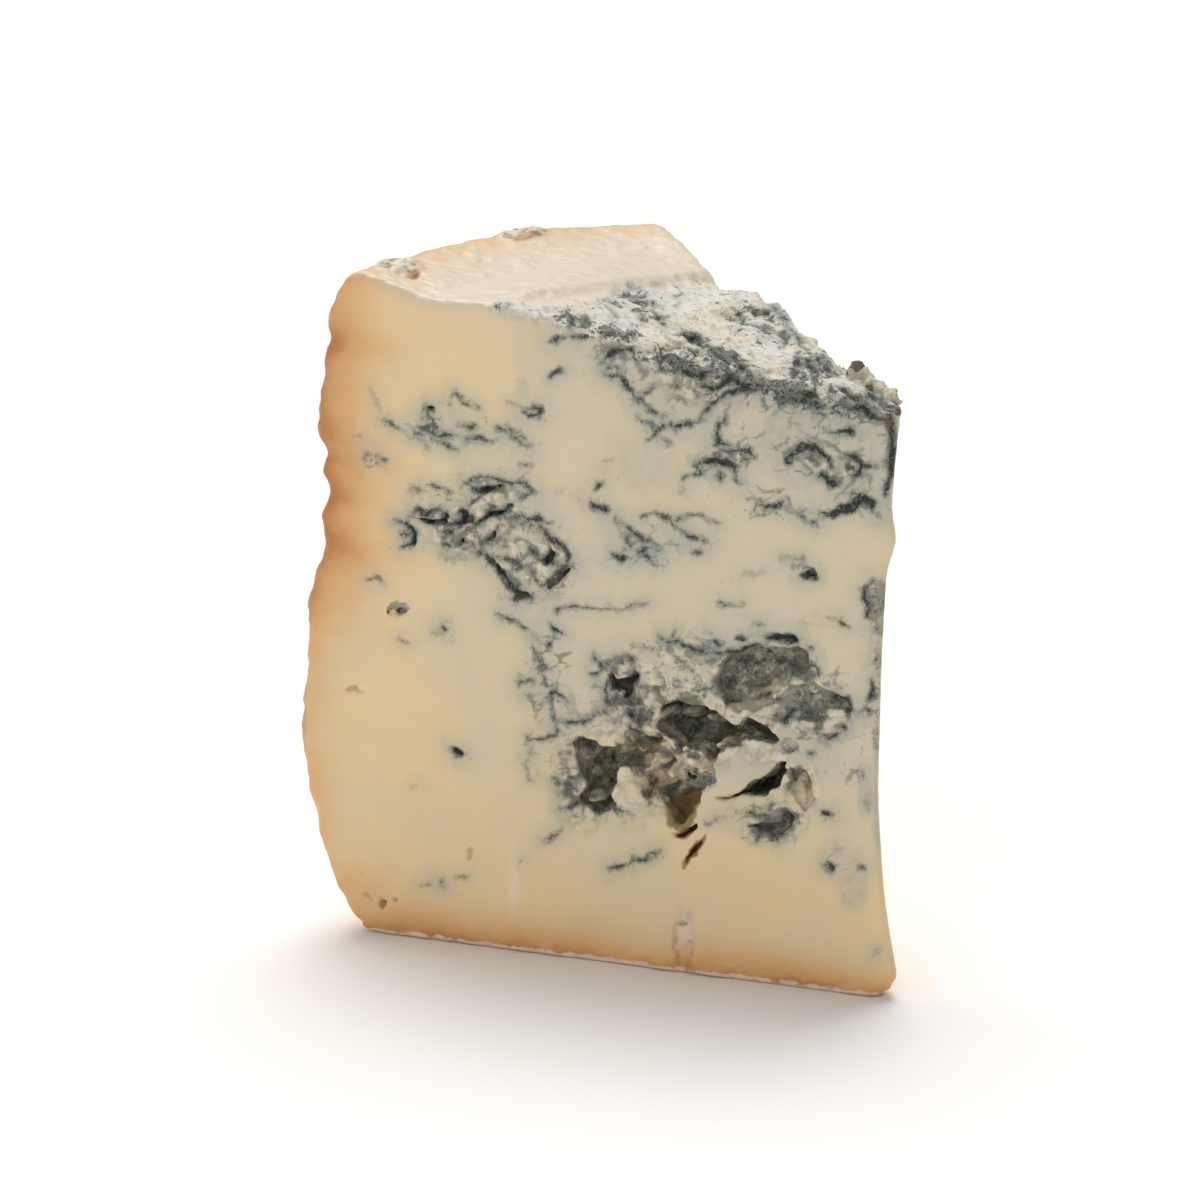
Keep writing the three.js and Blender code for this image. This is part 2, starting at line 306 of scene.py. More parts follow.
def torn_share(points):
    """1 where the top is torn and mouldy, 0 where it is smooth cream."""
    x, y, _ = points.T
    past_edge = tear_distance(x, y) - 2.6 * bell(y - 14.0, 10.0) + bumps(points, TEAR_EDGE)
    return smooth_step(0.6, 3.2, past_edge)


def broken_edge_share(points):
    """1 along the stretch of the front top edge that is broken away instead of cut."""
    x = points[:, 0]
    start = smooth_step(BROKEN_EDGE[0] - 6, BROKEN_EDGE[0] + 6, x)
    return start * (1.0 - smooth_step(BROKEN_EDGE[1], BROKEN_EDGE[1] + 8, x))


def torn_cover(points, faces):
    """Where the torn surface shows: the torn top, and a few millimetres down the broken edge."""
    on_top = smooth_step(-2.0, -0.4, faces["top"])
    on_edge = smooth_step(-5.5, -2.0, faces["top"]) * broken_edge_share(points)
    return torn_share(points) * np.maximum(on_top, on_edge)


def along_grain(points):
    """Plan places turned so that the first axis follows the folds of the torn top."""
    x, y, z = points.T
    along = x * GRAIN_AXES[0] + y * GRAIN_AXES[1]
    across = -x * GRAIN_AXES[1] + y * GRAIN_AXES[0]
    return np.stack([along, across, z], axis=1)


# ---- Hollows of the front cut: outlines on the cut, and depths -------------------------------

# Each row: depth, how far in from its rim a hollow is full depth, then x and z of each corner.
OPEN_HOLLOWS = (
    (8, 1.2, 39.3, 42.2, 41.2, 41.9, 43, 42, 43.9, 43, 44.5, 42.3, 43.9, 41, 43.2, 39.7, 42.6, 38.9, 42,
     39.2, 42.2, 39.9, 40.4, 40.1, 40.2, 41.2),
    (7, 2.6, 34.4, 31.6, 35.3, 32.9, 37.6, 32.3, 38.6, 31.7, 40.6, 31.9, 42.4, 32.3, 43.6, 33.4, 44.6,
     34.5, 46.2, 33.6, 47.4, 33.9, 46.8, 31, 45.2, 28.4, 43.2, 28.9, 41.2, 29, 40.9, 27, 40.6, 24.6,
     41.4, 23.2, 39.6, 22.2, 38.4, 21.7, 36, 22.4, 35, 23.8, 36.4, 25.6, 35.4, 28),
    (2.4, 2.6, 42.6, 34.6, 45.4, 34.8, 48, 34.2, 50.4, 32, 53.4, 32.4, 56, 31, 56.6, 28.6, 54.8, 26.8,
     53.2, 24, 50.8, 22.4, 48.4, 24.4, 46, 24.8, 44.2, 26, 43.2, 29, 42, 31.6),
    (1.6, 2, 43.4, 42, 44.8, 40.6, 45.4, 38.4, 47.2, 37.6, 48, 35.4, 46.4, 33.6, 44.2, 34.8, 42.8, 36.8,
     42.2, 39.2, 42.4, 41.2),
    (5, 2.2, 44.2, 26.4, 45.6, 29, 47, 31.6, 49, 32, 50.6, 30.4, 51, 28, 54.8, 27.4, 54.6, 25.2, 53, 24,
     52.2, 21.8, 51.2, 21.4, 50, 22.8, 48.6, 25, 46.6, 25.9, 46.2, 24.2, 45, 25.2),
    (9, 2.4, 47.4, 35.8, 48, 38.3, 50.2, 39.5, 52.6, 39, 55, 38.9, 56.8, 38.4, 57.4, 37.5, 59.6, 37,
     61.4, 37.8, 63.4, 37.6, 65.4, 36.3, 66.3, 35.4, 65.6, 34.8, 63, 34.9, 60.6, 34.7, 58.6, 33.6, 56.8,
     32.2, 56.2, 30.9, 54.2, 32.2, 51.8, 33, 50.8, 31.6, 49.8, 33.6, 48, 34.2),
    (4.6, 2.6, 57.4, 45.4, 59, 46.6, 61, 47.8, 63.6, 48.2, 66.4, 48.5, 69.4, 48.9, 70.6, 47.8, 70.4,
     45.6, 69, 44.4, 67.2, 44.2, 66.9, 42.8, 65, 41.6, 65.4, 40.2, 63, 39.2, 60, 38.6, 57.8, 38.9, 57.2,
     41.2, 56.6, 43.4),
    (1.6, 1.6, 65.6, 42.4, 68.6, 43.8, 71.4, 44, 74.4, 42.8, 77.2, 42, 77, 40.6, 73.6, 40.4, 71.6, 38.6,
     68.4, 38.4, 65.4, 38.8),
    (1.8, 1.6, 67, 31.4, 69.6, 31.6, 71.2, 30, 71.4, 27.4, 70.2, 25.4, 68.6, 26.6, 67.8, 28.8),
    (9, 0.9, 56.4, 26.1, 58.8, 26.6, 60.6, 27.3, 61.2, 28.6, 63.6, 29.8, 65.2, 31.2, 66.2, 32.5, 67.4,
     32.5, 66.9, 30.4, 65.8, 28.6, 64.4, 27.4, 62.4, 26.9, 60.6, 26.8, 58.6, 26.1),
    (5, 0.6, 50.9, 29.8, 52, 29.4, 52.9, 28.9, 52.6, 28, 51.8, 28.3),
    (3, 0.5, 50.1, 20.2, 51.2, 20.3, 52.4, 21, 53.8, 22, 54, 21.4, 52.6, 20.2, 51.2, 19.6),
    (2.4, 0.5, 51.6, 15.3, 53.2, 17.3, 54.3, 18.9, 55.5, 20.6, 54.1, 19.4, 52.7, 17.8),
    (2.6, 1, 66.2, 39.4, 66.8, 40.4, 68.6, 40.6, 69.6, 42.6, 71.6, 43, 73.2, 41.6, 73.4, 40.4, 71.4,
     39.6, 70.2, 40.4, 68.2, 39.6),
    (2.4, 1, 61.8, 22.4, 63.2, 23.6, 64.8, 23.2, 66.4, 24.2, 67.2, 25.4, 68.4, 24.6, 67.8, 23, 66.4,
     21.8, 64.6, 20.8, 63.8, 22),
    (2.5, 0.5, 10.2, 62.4, 11.6, 61.8, 13.4, 61.7, 14.4, 63.4, 15, 63, 14.6, 61.4, 12.2, 61.2, 10.6,
     61.6),
    (2.6, 0.6, 15.2, 61, 16.6, 62.2, 17.6, 63.9, 18.4, 63.2, 19.2, 62.6, 18.2, 62, 17, 61.4),
    (2.4, 0.5, 20, 62.6, 21.4, 63.9, 22.8, 64, 24.2, 64.6, 25.3, 65.5, 25.1, 64.7, 23.4, 63.7, 21.4,
     63),
    (2.6, 0.6, 19.9, 67.2, 21.4, 67.6, 23.8, 68.1, 23, 67.3, 21.4, 66.9, 20.6, 66.2),
    (2.4, 0.6, 29.6, 57.3, 30.6, 58.2, 31.2, 59.8, 31.8, 58.4, 31.2, 57.2, 30.2, 56.6),
    (2, 0.5, 30.2, 53.6, 31.6, 55, 33, 56.2, 34.8, 57.6, 34, 56.2, 32.4, 54.8, 31, 53.8),
    (1.8, 0.5, 16.2, 58.3, 17, 59.6, 17.6, 59.9, 17.2, 58.9),
    (1.8, 0.5, 20.2, 59.2, 21.6, 60.3, 22.9, 62.4, 22.6, 60.8, 21.4, 59.4),
    (2, 0.5, 8.6, 61, 9.4, 61.2, 9.8, 60, 9.9, 58.6, 9.2, 58, 9.2, 59.6),
)

# Small pits of the front cut. Each row: x, z, half length, half height, depth, tilt in degrees.
PITS = (
    (7.4, 48.2, 1.3, 0.5, 1.4, 5),
    (16.4, 28.5, 1, 0.5, 1.6, -20),
    (0, 36.2, 1, 0.35, 0.5, 0),
    (4.4, 4.8, 0.6, 0.5, 0.6, 0),
    (70.4, 59.2, 1, 0.7, 2, 20),
    (26.6, 52.2, 1.5, 0.5, 1.3, 5),
    (23.6, 55.2, 2.4, 0.5, 1.3, -52),
    (58, 85.8, 1, 0.7, 2, 35),
    (55.6, 74, 1, 0.6, 1.2, 10),
    (12.7, 78.1, 0.8, 0.3, 0.8, -15),
    (66.6, 50, 2.4, 0.35, 0.9, 0),
    (33.9, 22.1, 1.6, 0.35, 1, 12),
)

# Curds that fill part of a hollow: x, z, half width, half height, how far back they sit, tilt.
FRONT_CURDS = (
    (36, 30.6, 1.7, 1.9, 0.8, 0),
    (36.9, 27.2, 1.5, 1.6, 2.2, 20),
    (37.4, 23.6, 2, 1.4, 0.9, 0),
    (34.9, 24.6, 0.9, 1.3, 0.3, 0),
    (39.6, 24.4, 1.3, 1.6, 3, 0),
    (40.2, 30.2, 1.8, 1.5, 3.6, 0),
    (41.6, 31, 2.6, 1.3, 2.6, 5),
    (44.3, 31.4, 1.6, 1.6, 2.2, 30),
    (46.1, 34.8, 1.4, 1.2, 0.1, 0),
    (47.3, 36.6, 1.5, 0.9, 0.2, 35),
    (47.6, 30.6, 1.9, 2.2, 1.2, 30),
    (48.6, 33, 1.6, 1.1, 0.5, 0),
    (49.8, 28.7, 1.4, 1.3, 0.2, -20),
    (52.6, 31, 2.1, 1.5, 0.3, -8),
    (54.4, 29.9, 1.3, 0.9, 0.4, 30),
    (50.6, 26, 2.6, 1.2, 3, 10),
    (48, 26.7, 1.3, 0.8, 0.6, 20),
    (57, 33.4, 2.2, 0.8, 0.9, 18),
    (50.8, 37, 1.9, 1.7, 3.6, 0),
    (54.8, 36.8, 2.4, 1.6, 3.2, 10),
    (59.6, 35.7, 1.8, 0.9, 3.6, 0),
    (60.2, 44.2, 1.9, 1.5, 1.9, 30),
    (61.4, 40.9, 2.6, 1.3, 1.5, 10),
    (64.6, 44, 1.7, 1.6, 2, -10),
    (63.6, 46.6, 2.2, 1, 2.6, 0),
    (68.2, 46.6, 1.9, 1.8, 2.8, 0),
    (66.2, 42.6, 1, 1.2, 0.6, 20),
    (69.6, 41.4, 1.3, 0.9, 0.5, 0),
    (73.4, 41.4, 1.8, 0.7, 0.7, 5),
    (69.6, 28.6, 1.1, 1.9, 0.5, 10),
    (66, 23.2, 1, 0.7, 0.6, 20),
)

# Hollows of the back cut. Each row: share of the way from the rind to the tip, z, half length,
# half height, depth, tilt.
BACK_POCKETS = (
    (0.2, 66, 5.2, 2.4, 4, 12),
    (0.27, 62, 2.6, 1.6, 3, -20),
    (0.46, 40, 6.4, 2.8, 6, -6),
    (0.58, 34, 4.6, 3.4, 5, 24),
    (0.37, 31, 3.4, 2.2, 4.5, 30),
    (0.55, 45, 3.6, 1.5, 4, 10),
    (0.74, 57, 2, 1, 2, 0),
    (0.3, 22, 1.4, 0.9, 1.8, 0),
)

# Dimples of the top. Each row: x, y, half length, half width, depth.
TOP_DIMPLES = (
    (6.9, 7, 0.8, 2.4, 0.4),
    (35.3, 21.8, 1.2, 2.4, 1.8),
    (48.6, 10.4, 1.4, 2.6, 1.5),
    (41.2, 16, 1, 2.4, 1),
    (58, 6.2, 1.5, 2.6, 1.3),
    (66.4, 11.6, 1.6, 3.2, 1),
)

# Low crusty scabs near the rim, in plan: x, y, half length, half width, turn, rise in mm.
TOP_SCABS = (
    (3.3, 8.6, 2.9, 4.3, -10, 0.85),
    (8.8, 37.6, 2.8, 5, -10, 0.8),
)

# Crumbs on top of the tip. Each row: x, y, rise of the centre over the top, radius.
TIP_CRUMBS = (
    (72.9, 10.8, 0.5, 1.3),
    (74.3, 9.8, 0.2, 1),
    (75.3, 9, 1, 0.8),
    (76.4, 8.2, 0.5, 1),
    (77.6, 7.1, 0.6, 1.1),
    (78.8, 6, 0.6, 1),
    (80, 4.8, 0.6, 1),
    (81.1, 3.7, 0.3, 1),
)
DARK_CRUMB = 1.7  # the first crumb is dark as far as this from its centre

CURD_ROOT = 13.0  # curds reach this far in, to the wall behind them
CURD_GROWTH = 1.15  # curds are this much larger than drawn, because roughness eats into them

# The front cut's pattern carries on round the tip's facets.
FACETS_X = (77.0, 80.5)  # they set in between these
FACET_STRETCH = 0.42  # on them, depth counts as this much further along the front cut
ROUND_TIP_X = (76.0, 79.0)  # the part of the tip drawn as front sets in between these
ROUND_TIP_Y = (3.0, 5.0)  # and fades out between these, where the back cut takes over

BACK_BEND = (5.5, 15.0)  # amount and size of the bends that make the back cut differ
BACK_WOBBLE = (0.6, 1.1)


def ball(centre, half_sizes, tilt=0.0, heading=0.0):
    """A stretched ball, tilted in degrees on the cut and turned in plan."""
    return {"centre": centre, "half": half_sizes, "tilt": tilt, "heading": heading}


def front_curd(row):
    x, z, half_width, half_height, setback, tilt = row
    half_sizes = (CURD_GROWTH * half_width, CURD_ROOT, CURD_GROWTH * half_height)
    return ball((x, setback + CURD_ROOT, z), half_sizes, tilt)


def back_pocket(row):
    share, z, half_length, half_height, depth, tilt = row
    radius = WHEEL_RADIUS + float(rind_bulge(np.float64(z)))
    rind_x = WHEEL_RADIUS - radius * math.cos(WEDGE_ANGLE)
    rind_y = radius * math.sin(WEDGE_ANGLE)
    tip_x = TIP_BACK[0] + float(tip_reach(np.float64(z)))
    x = rind_x + (tip_x - rind_x) * share
    y = rind_y + (TIP_BACK[1] - rind_y) * share
    heading = math.degrees(math.atan2(TIP_BACK[1] - rind_y, tip_x - rind_x))
    return ball((x, y, z), (half_length, depth, half_height), tilt, heading)


def top_dimple(row):
    x, y, half_length, half_width, depth = row
    return ball((x, y, float(top_height(x, y))), (half_length, half_width, depth))


def top_lump(row):
    x, y, rise, radius = row
    return ball((x, y, float(top_height(x, y)) + rise), (radius, radius, radius))


def ball_distance(points, shape):
    """Distance to a stretched ball, close to exact near its surface."""
    offset = points - np.asarray(shape["centre"], dtype=np.float32)
    heading = math.radians(shape["heading"])
    tilt = math.radians(shape["tilt"])
    flat = offset[:, 0] * math.cos(heading) + offset[:, 1] * math.sin(heading)
    depth = offset[:, 1] * math.cos(heading) - offset[:, 0] * math.sin(heading)
    along = flat * math.cos(tilt) + offset[:, 2] * math.sin(tilt)
    upward = offset[:, 2] * math.cos(tilt) - flat * math.sin(tilt)
    local = np.stack([along, depth, upward], axis=1)
    half = np.asarray(shape["half"], dtype=np.float32)
    reach = np.linalg.norm(local / half, axis=1)
    steep = np.linalg.norm(local / half**2, axis=1)
    return reach * (reach - 1.0) / np.maximum(steep, 1e-6)


def balls_distance(points, shapes, blend=0.5):
    """Distance to several balls that melt into each other."""
    nearest = ball_distance(points, shapes[0])
    for shape in shapes[1:]:
        nearest = -smooth_max(-nearest, -ball_distance(points, shape), blend)
    return nearest


def crumbly(points):
    """Rounded crumbs with sharp creases between them, from 0 in a crease to about 1 on a crumb."""
    large, _ = cell_distances(points, 2.4, SEED + 41)
    small, _ = cell_distances(points, 1.0, SEED + 44)
    return 1.0 - 0.65 * large - 0.35 * small + 0.06 * noise(points, 0.6, SEED + 47)


def curd_seams(points):
    """0 on the seams between pressed curds, rising to about 0.8 inside a curd."""
    bent = warped(points, 0.8, 2.2)
    nearest, second = cell_distances(bent, (3.6, 3.6, 2.3), SEED + 48)
    return second - nearest


def warped(points, amount, size):
    """Points pushed up to `amount` millimetres in a smooth random way."""
    shift = np.stack([noise(points, size, SEED + 51 + axis) for axis in range(3)], axis=1)
    return points + amount * shift


def front_places(points):
    """Places on the front cut, carried on round the tip's facets, with a ragged wobble."""
    x, y, z = points.T
    round_tip = FACET_STRETCH * np.maximum(y, 0.0) * smooth_step(*FACETS_X, x)
    along = x + round_tip + bumps(points, WOBBLE_ACROSS)
    return np.stack([along, z + bumps(points, WOBBLE_UPWARD)], axis=1)


def back_places(points):
    """Places on the back cut in the front one's measures, bent so that it isn't its copy."""
    bent = warped(points, *BACK_BEND) + 0.9 * (warped(points, *BACK_WOBBLE) - points)
    along = WHEEL_RADIUS - np.hypot(WHEEL_RADIUS - bent[:, 0], bent[:, 1])
    return np.stack([along, bent[:, 2]], axis=1)


def cut_places(points, faces):
    """Places on whichever cut is nearer, and 1 within a few millimetres of it."""
    x, y, _ = points.T
    round_tip = smooth_step(*ROUND_TIP_X, x) * (1.0 - smooth_step(*ROUND_TIP_Y, y))
    nearness = 1.0 - smooth_step(2.0, 4.0, -np.maximum(faces["front"], faces["back"]))
    behind = (faces["back"] > faces["front"]) & (round_tip < 0.5)
    places = front_places(points)
    places[behind] = back_places(points[behind])
    return places, np.maximum(nearness, round_tip)


def segment_distance(places, start, end):
    """Distance to one straight piece of a line, and how far along it each place lies."""
    along = np.subtract(end, start)
    share = np.clip(((places - start) @ along) / max(float(along @ along), 1e-9), 0.0, 1.0)
    return np.hypot(*(places - start - share[:, None] * along).T), share


def inside_outline(places, outline):
    """How far inside a closed outline each place lies, below zero outside it."""
    nearest = np.full(len(places), 1e3, dtype=np.float32)
    inside = np.zeros(len(places), dtype=bool)
    for start, end in zip(outline, np.roll(outline, -1, axis=0)):
        distance, _ = segment_distance(places, start, end)
        nearest = np.minimum(nearest, distance)
        crosses = (start[1] > places[:, 1]) != (end[1] > places[:, 1])
        slope = (end[0] - start[0]) / (end[1] - start[1]) if end[1] != start[1] else 0.0
        inside ^= crosses & (places[:, 0] < start[0] + (places[:, 1] - start[1]) * slope)
    return np.where(inside, nearest, -nearest)


def oval_reach(places, x, z, half_length, half_height, tilt):
    """0 at the centre of a tilted oval and 1 on its outline."""
    angle = math.radians(tilt)
    across, upward = (places - np.asarray((x, z), dtype=np.float32)).T
    along = (across * math.cos(angle) + upward * math.sin(angle)) / half_length
    over = (upward * math.cos(angle) - across * math.sin(angle)) / half_height
    return np.hypot(along, over)


def bowl(inside, depth, rim):
    """Depth of a hollow whose walls drop steeply from its outline."""
    share = np.clip(inside / rim, 0.0, 1.0)
    return depth * np.sqrt(1.0 - (1.0 - share) ** 2)


# ---- Veins and mould on the front cut --------------------------------------------------------

# Each row: width in mm, how dark the vein is, then x and z of each point along it.
VEINS_BY_THE_RIND = (
    (0.4, 0.35, 3, 80.3, 4, 78.5, 4.5, 77.3),
    (0.5, 0.8, 5.3, 75.7, 6.5, 75.4, 7.6, 74.8),
    (0.3, 0.3, 7.6, 74.8, 9.2, 73.7),
    (0.5, 0.7, 10.2, 74.6, 11.3, 74.5),
    (0.9, 0.6, 10.4, 75.4, 12, 75.6, 13.6, 75.6),
    (0.6, 0.9, 11.9, 78.3, 12.8, 78.1, 13.1, 77.7),
    (0.5, 0.7, 12.2, 77.6, 12.8, 76.5, 13.3, 75.7, 13, 74.9),
    (0.5, 0.8, 12.3, 74.8, 13.5, 74.6, 15, 74.6, 16.6, 74.4),
    (0.4, 0.7, 12.8, 73.8, 15, 73.3, 16, 72.7, 17, 72.2),
    (0.4, 0.4, 10.8, 73.3, 12.6, 72.3),
    (0.4, 0.65, 15.8, 80.2, 16.5, 80.6, 17.2, 80.1, 18.3, 79.4, 20.2, 78.9),
    (0.5, 0.7, 15.5, 79.2, 16, 78.9),
    (0.5, 0.7, 17, 76, 18.2, 75.6, 19.5, 76),
    (0.4, 0.8, 18, 74.3, 20, 74.4, 21.4, 74.1, 23.4, 74.4),
    (0.3, 0.4, 18, 73.6, 20.6, 73.7),
    (0.6, 0.6, 23, 75.8, 24.7, 76.2, 26, 75.5, 27.6, 74.9),
    (0.4, 0.7, 25.3, 75, 26.8, 74.4, 28.6, 74),
    (0.7, 0.8, 27.3, 78.8, 28.5, 79.5, 29.9, 79.3, 29.2, 78.4, 28, 78.3, 29.8, 78.2),
    (0.3, 0.4, 24.9, 79.9, 27, 79.8),
    (0.4, 0.6, 26.2, 71.1, 28.3, 71.1),
    (0.5, 0.55, 2, 69.8, 2.5, 70.8, 3.5, 70.8),
    (0.4, 0.6, 4.3, 70.7, 5.3, 70),
    (0.3, 0.4, 0.8, 73.2, 1.5, 73),
    (0.4, 0.6, 11.8, 67.4, 13.3, 67, 14.5, 66.5, 15.8, 66.4),
    (0.4, 0.5, 9.2, 65.7, 9.9, 66.4, 11.5, 66.2),
    (0.6, 0.5, 2.7, 52.6, 3.6, 52.8, 4.5, 52.4),
    (0.5, 0.6, 7.4, 44.2, 8.6, 43.9),
    (0.7, 0.9, 14.3, 46.5, 14.7, 46.3),
    (0.3, 0.35, 12.5, 45.7, 14, 46.3),
    (0.9, 0.8, 15.6, 28.9, 17.1, 28.2),
)

VEINS_UPPER_CRACKS = (
    (0.5, 0.85, 18, 68, 19.5, 68.5, 22.5, 68.8, 25, 68.4, 27.3, 68.8, 28, 68, 28.8, 67.2),
    (0.4, 0.7, 28.8, 67.2, 27.5, 66.7, 26.2, 66.3),
    (0.6, 0.95, 18.5, 67.5, 19.5, 66.8, 20.5, 67, 22.5, 67.6, 23.7, 68),
    (0.5, 0.6, 17, 64.2, 18.6, 65, 20, 66),
    (0.6, 0.9, 6.8, 61.3, 8.8, 61.3, 9.3, 60.3, 9.8, 58.8, 8.8, 58, 7.9, 57.9),
    (0.4, 0.8, 7.6, 59.6, 9.2, 59.4),
    (0.6, 0.7, 8.8, 61.8, 10.3, 63.4, 11.8, 62.9, 13.4, 63.6, 14.7, 63.4),
    (0.7, 0.95, 10.2, 62.2, 11.2, 61.8, 13, 61.8, 14.3, 61.9, 14.7, 63.2),
    (0.8, 0.98, 14.7, 61.3, 16.2, 61.8, 17, 62.8, 17.6, 63.5, 18.5, 62.9, 19.2, 61.9),
    (0.7, 0.98, 19.2, 61.9, 20.3, 62.7, 21.5, 63.8, 22.6, 63.7, 24, 64.3, 25.2, 65.3),
    (0.6, 0.8, 13.4, 60.5, 15, 60.3, 16.3, 60.8, 17.5, 61.4),
    (0.5, 0.85, 14.2, 58.6, 15.4, 58.3),
    (0.5, 0.9, 16.2, 58.5, 17.3, 59.7),
    (0.6, 0.9, 20.3, 59.3, 21.5, 60.2, 22.5, 61, 23, 62.2),
    (0.5, 0.7, 20, 60, 20.2, 58.5, 20, 57.8, 18.8, 59),
    (0.9, 0.7, 20.5, 58.2, 21.8, 56.8, 23, 55.6, 24.5, 54.4, 25.3, 53.2, 26, 52.2),
    (0.7, 0.6, 22.3, 57.5, 24, 57.6, 25.5, 57, 26.3, 56.2, 25.3, 56),
    (0.6, 0.8, 25.3, 51.8, 26, 52.8, 27.5, 52.2, 28.7, 52.3),
    (0.5, 0.6, 25.6, 54.2, 26.3, 52.8),
    (0.6, 0.75, 24.8, 63, 26.3, 63.8, 27.6, 63.4, 29, 63.8, 30.3, 63.2, 31.5, 63.2),
    (0.4, 0.5, 26, 62.3, 27, 62.5),
    (1, 0.65, 29.6, 62.6, 30.8, 61.3, 32, 60.6, 33.2, 59.6, 34.1, 58.7, 33.8, 58),
    (0.8, 0.95, 30.8, 59.8, 31.2, 58.5, 30.5, 57.6, 29.5, 57.5),
    (0.5, 0.7, 27.5, 59.8, 28, 58.7, 29.4, 57.9),
    (0.7, 0.9, 34.9, 57.4, 33.3, 57.2, 32.9, 56.4, 31.5, 55.2, 30.2, 54),
    (0.4, 0.6, 27.5, 57, 28.2, 55.6, 29.2, 54.6, 30, 53.7),
    (0.3, 0.4, 23.5, 60, 26.5, 60.3),
    (0.4, 0.4, 14.9, 56.5, 17.8, 56.8),
)

VEINS_LEFT_OF_THE_CAVE = (
    (0.5, 0.85, 23.3, 49.2, 24.5, 48.9, 26, 48.3, 27.7, 47.5),
    (0.3, 0.3, 27.7, 47.5, 29.7, 45.8),
    (0.4, 0.75, 31, 49, 31.8, 48.1, 33.6, 47.1),
    (0.5, 0.8, 30.7, 45.9, 31.6, 45.4),
    (0.5, 0.6, 28.2, 45, 29.3, 44, 30, 42.6, 31.4, 41.8),
    (0.4, 0.5, 28.9, 42.2, 30.1, 42.3),
    (0.4, 0.6, 25.9, 39.3, 27.3, 40, 28.5, 39.9),
    (0.3, 0.4, 26.2, 41, 27.2, 40.5),
    (0.5, 0.6, 30.1, 40.9, 30.5, 40, 31.2, 39.4),
    (0.5, 0.8, 33.8, 37.5, 33, 38.3, 32, 38.8, 31.1, 38.2, 31, 37, 31.6, 35.8, 32.1, 34.7),
    (0.4, 0.85, 32, 34.8, 33, 34.5, 34.5, 34.6, 36.5, 35, 37.5, 35.6, 39, 36.4, 40.5, 36.9),
    (0.7, 0.7, 40.4, 37.5, 39.8, 39, 39.6, 40.2, 39.9, 41),
    (0.6, 0.6, 32.2, 34.5, 32.2, 33, 31.8, 32.3, 30, 31.8, 28, 31.3, 27.6, 31.8),
    (0.3, 0.4, 28.8, 30.6, 28.3, 29.2),
    (0.4, 0.7, 27.2, 28.3, 27.4, 27.4, 27.9, 26.1),
    (0.3, 0.9, 27.5, 37.8, 28.7, 38),
    (0.3, 0.8, 32.5, 30.1, 33.5, 30, 34, 30),
    (0.5, 0.8, 31.6, 26.3, 32.3, 25.6, 34, 25.2, 35, 24.7),
    (0.3, 0.4, 32.3, 25.5, 32.2, 23.5),
    (0.5, 0.85, 32.6, 22, 33.8, 22.1, 35, 22.8, 35.3, 23.6),
    (0.6, 0.8, 38, 44.8, 39, 43.7, 39.6, 42.9),
    (0.6, 0.8, 37.2, 42, 38.3, 42.1, 38.9, 42.8),
    (0.5, 0.8, 41.5, 44, 43, 44.5, 44.5, 44.8),
    (0.6, 0.6, 44, 43.5, 44.5, 42, 45, 40.9),
    (0.4, 0.4, 45.5, 41.5, 46, 40),
    (0.6, 0.5, 47.6, 43, 48.2, 42.5),
    (0.3, 0.35, 44, 46.8, 46.5, 46.6),
    (0.6, 0.7, 41.8, 39, 42.8, 37.8, 43.5, 36.6, 44.4, 35.4),
    (0.7, 0.75, 43, 35.2, 44, 34.4, 44.8, 34),
    (0.5, 0.6, 44.8, 37.2, 46.2, 37.6, 47.2, 38.6),
)

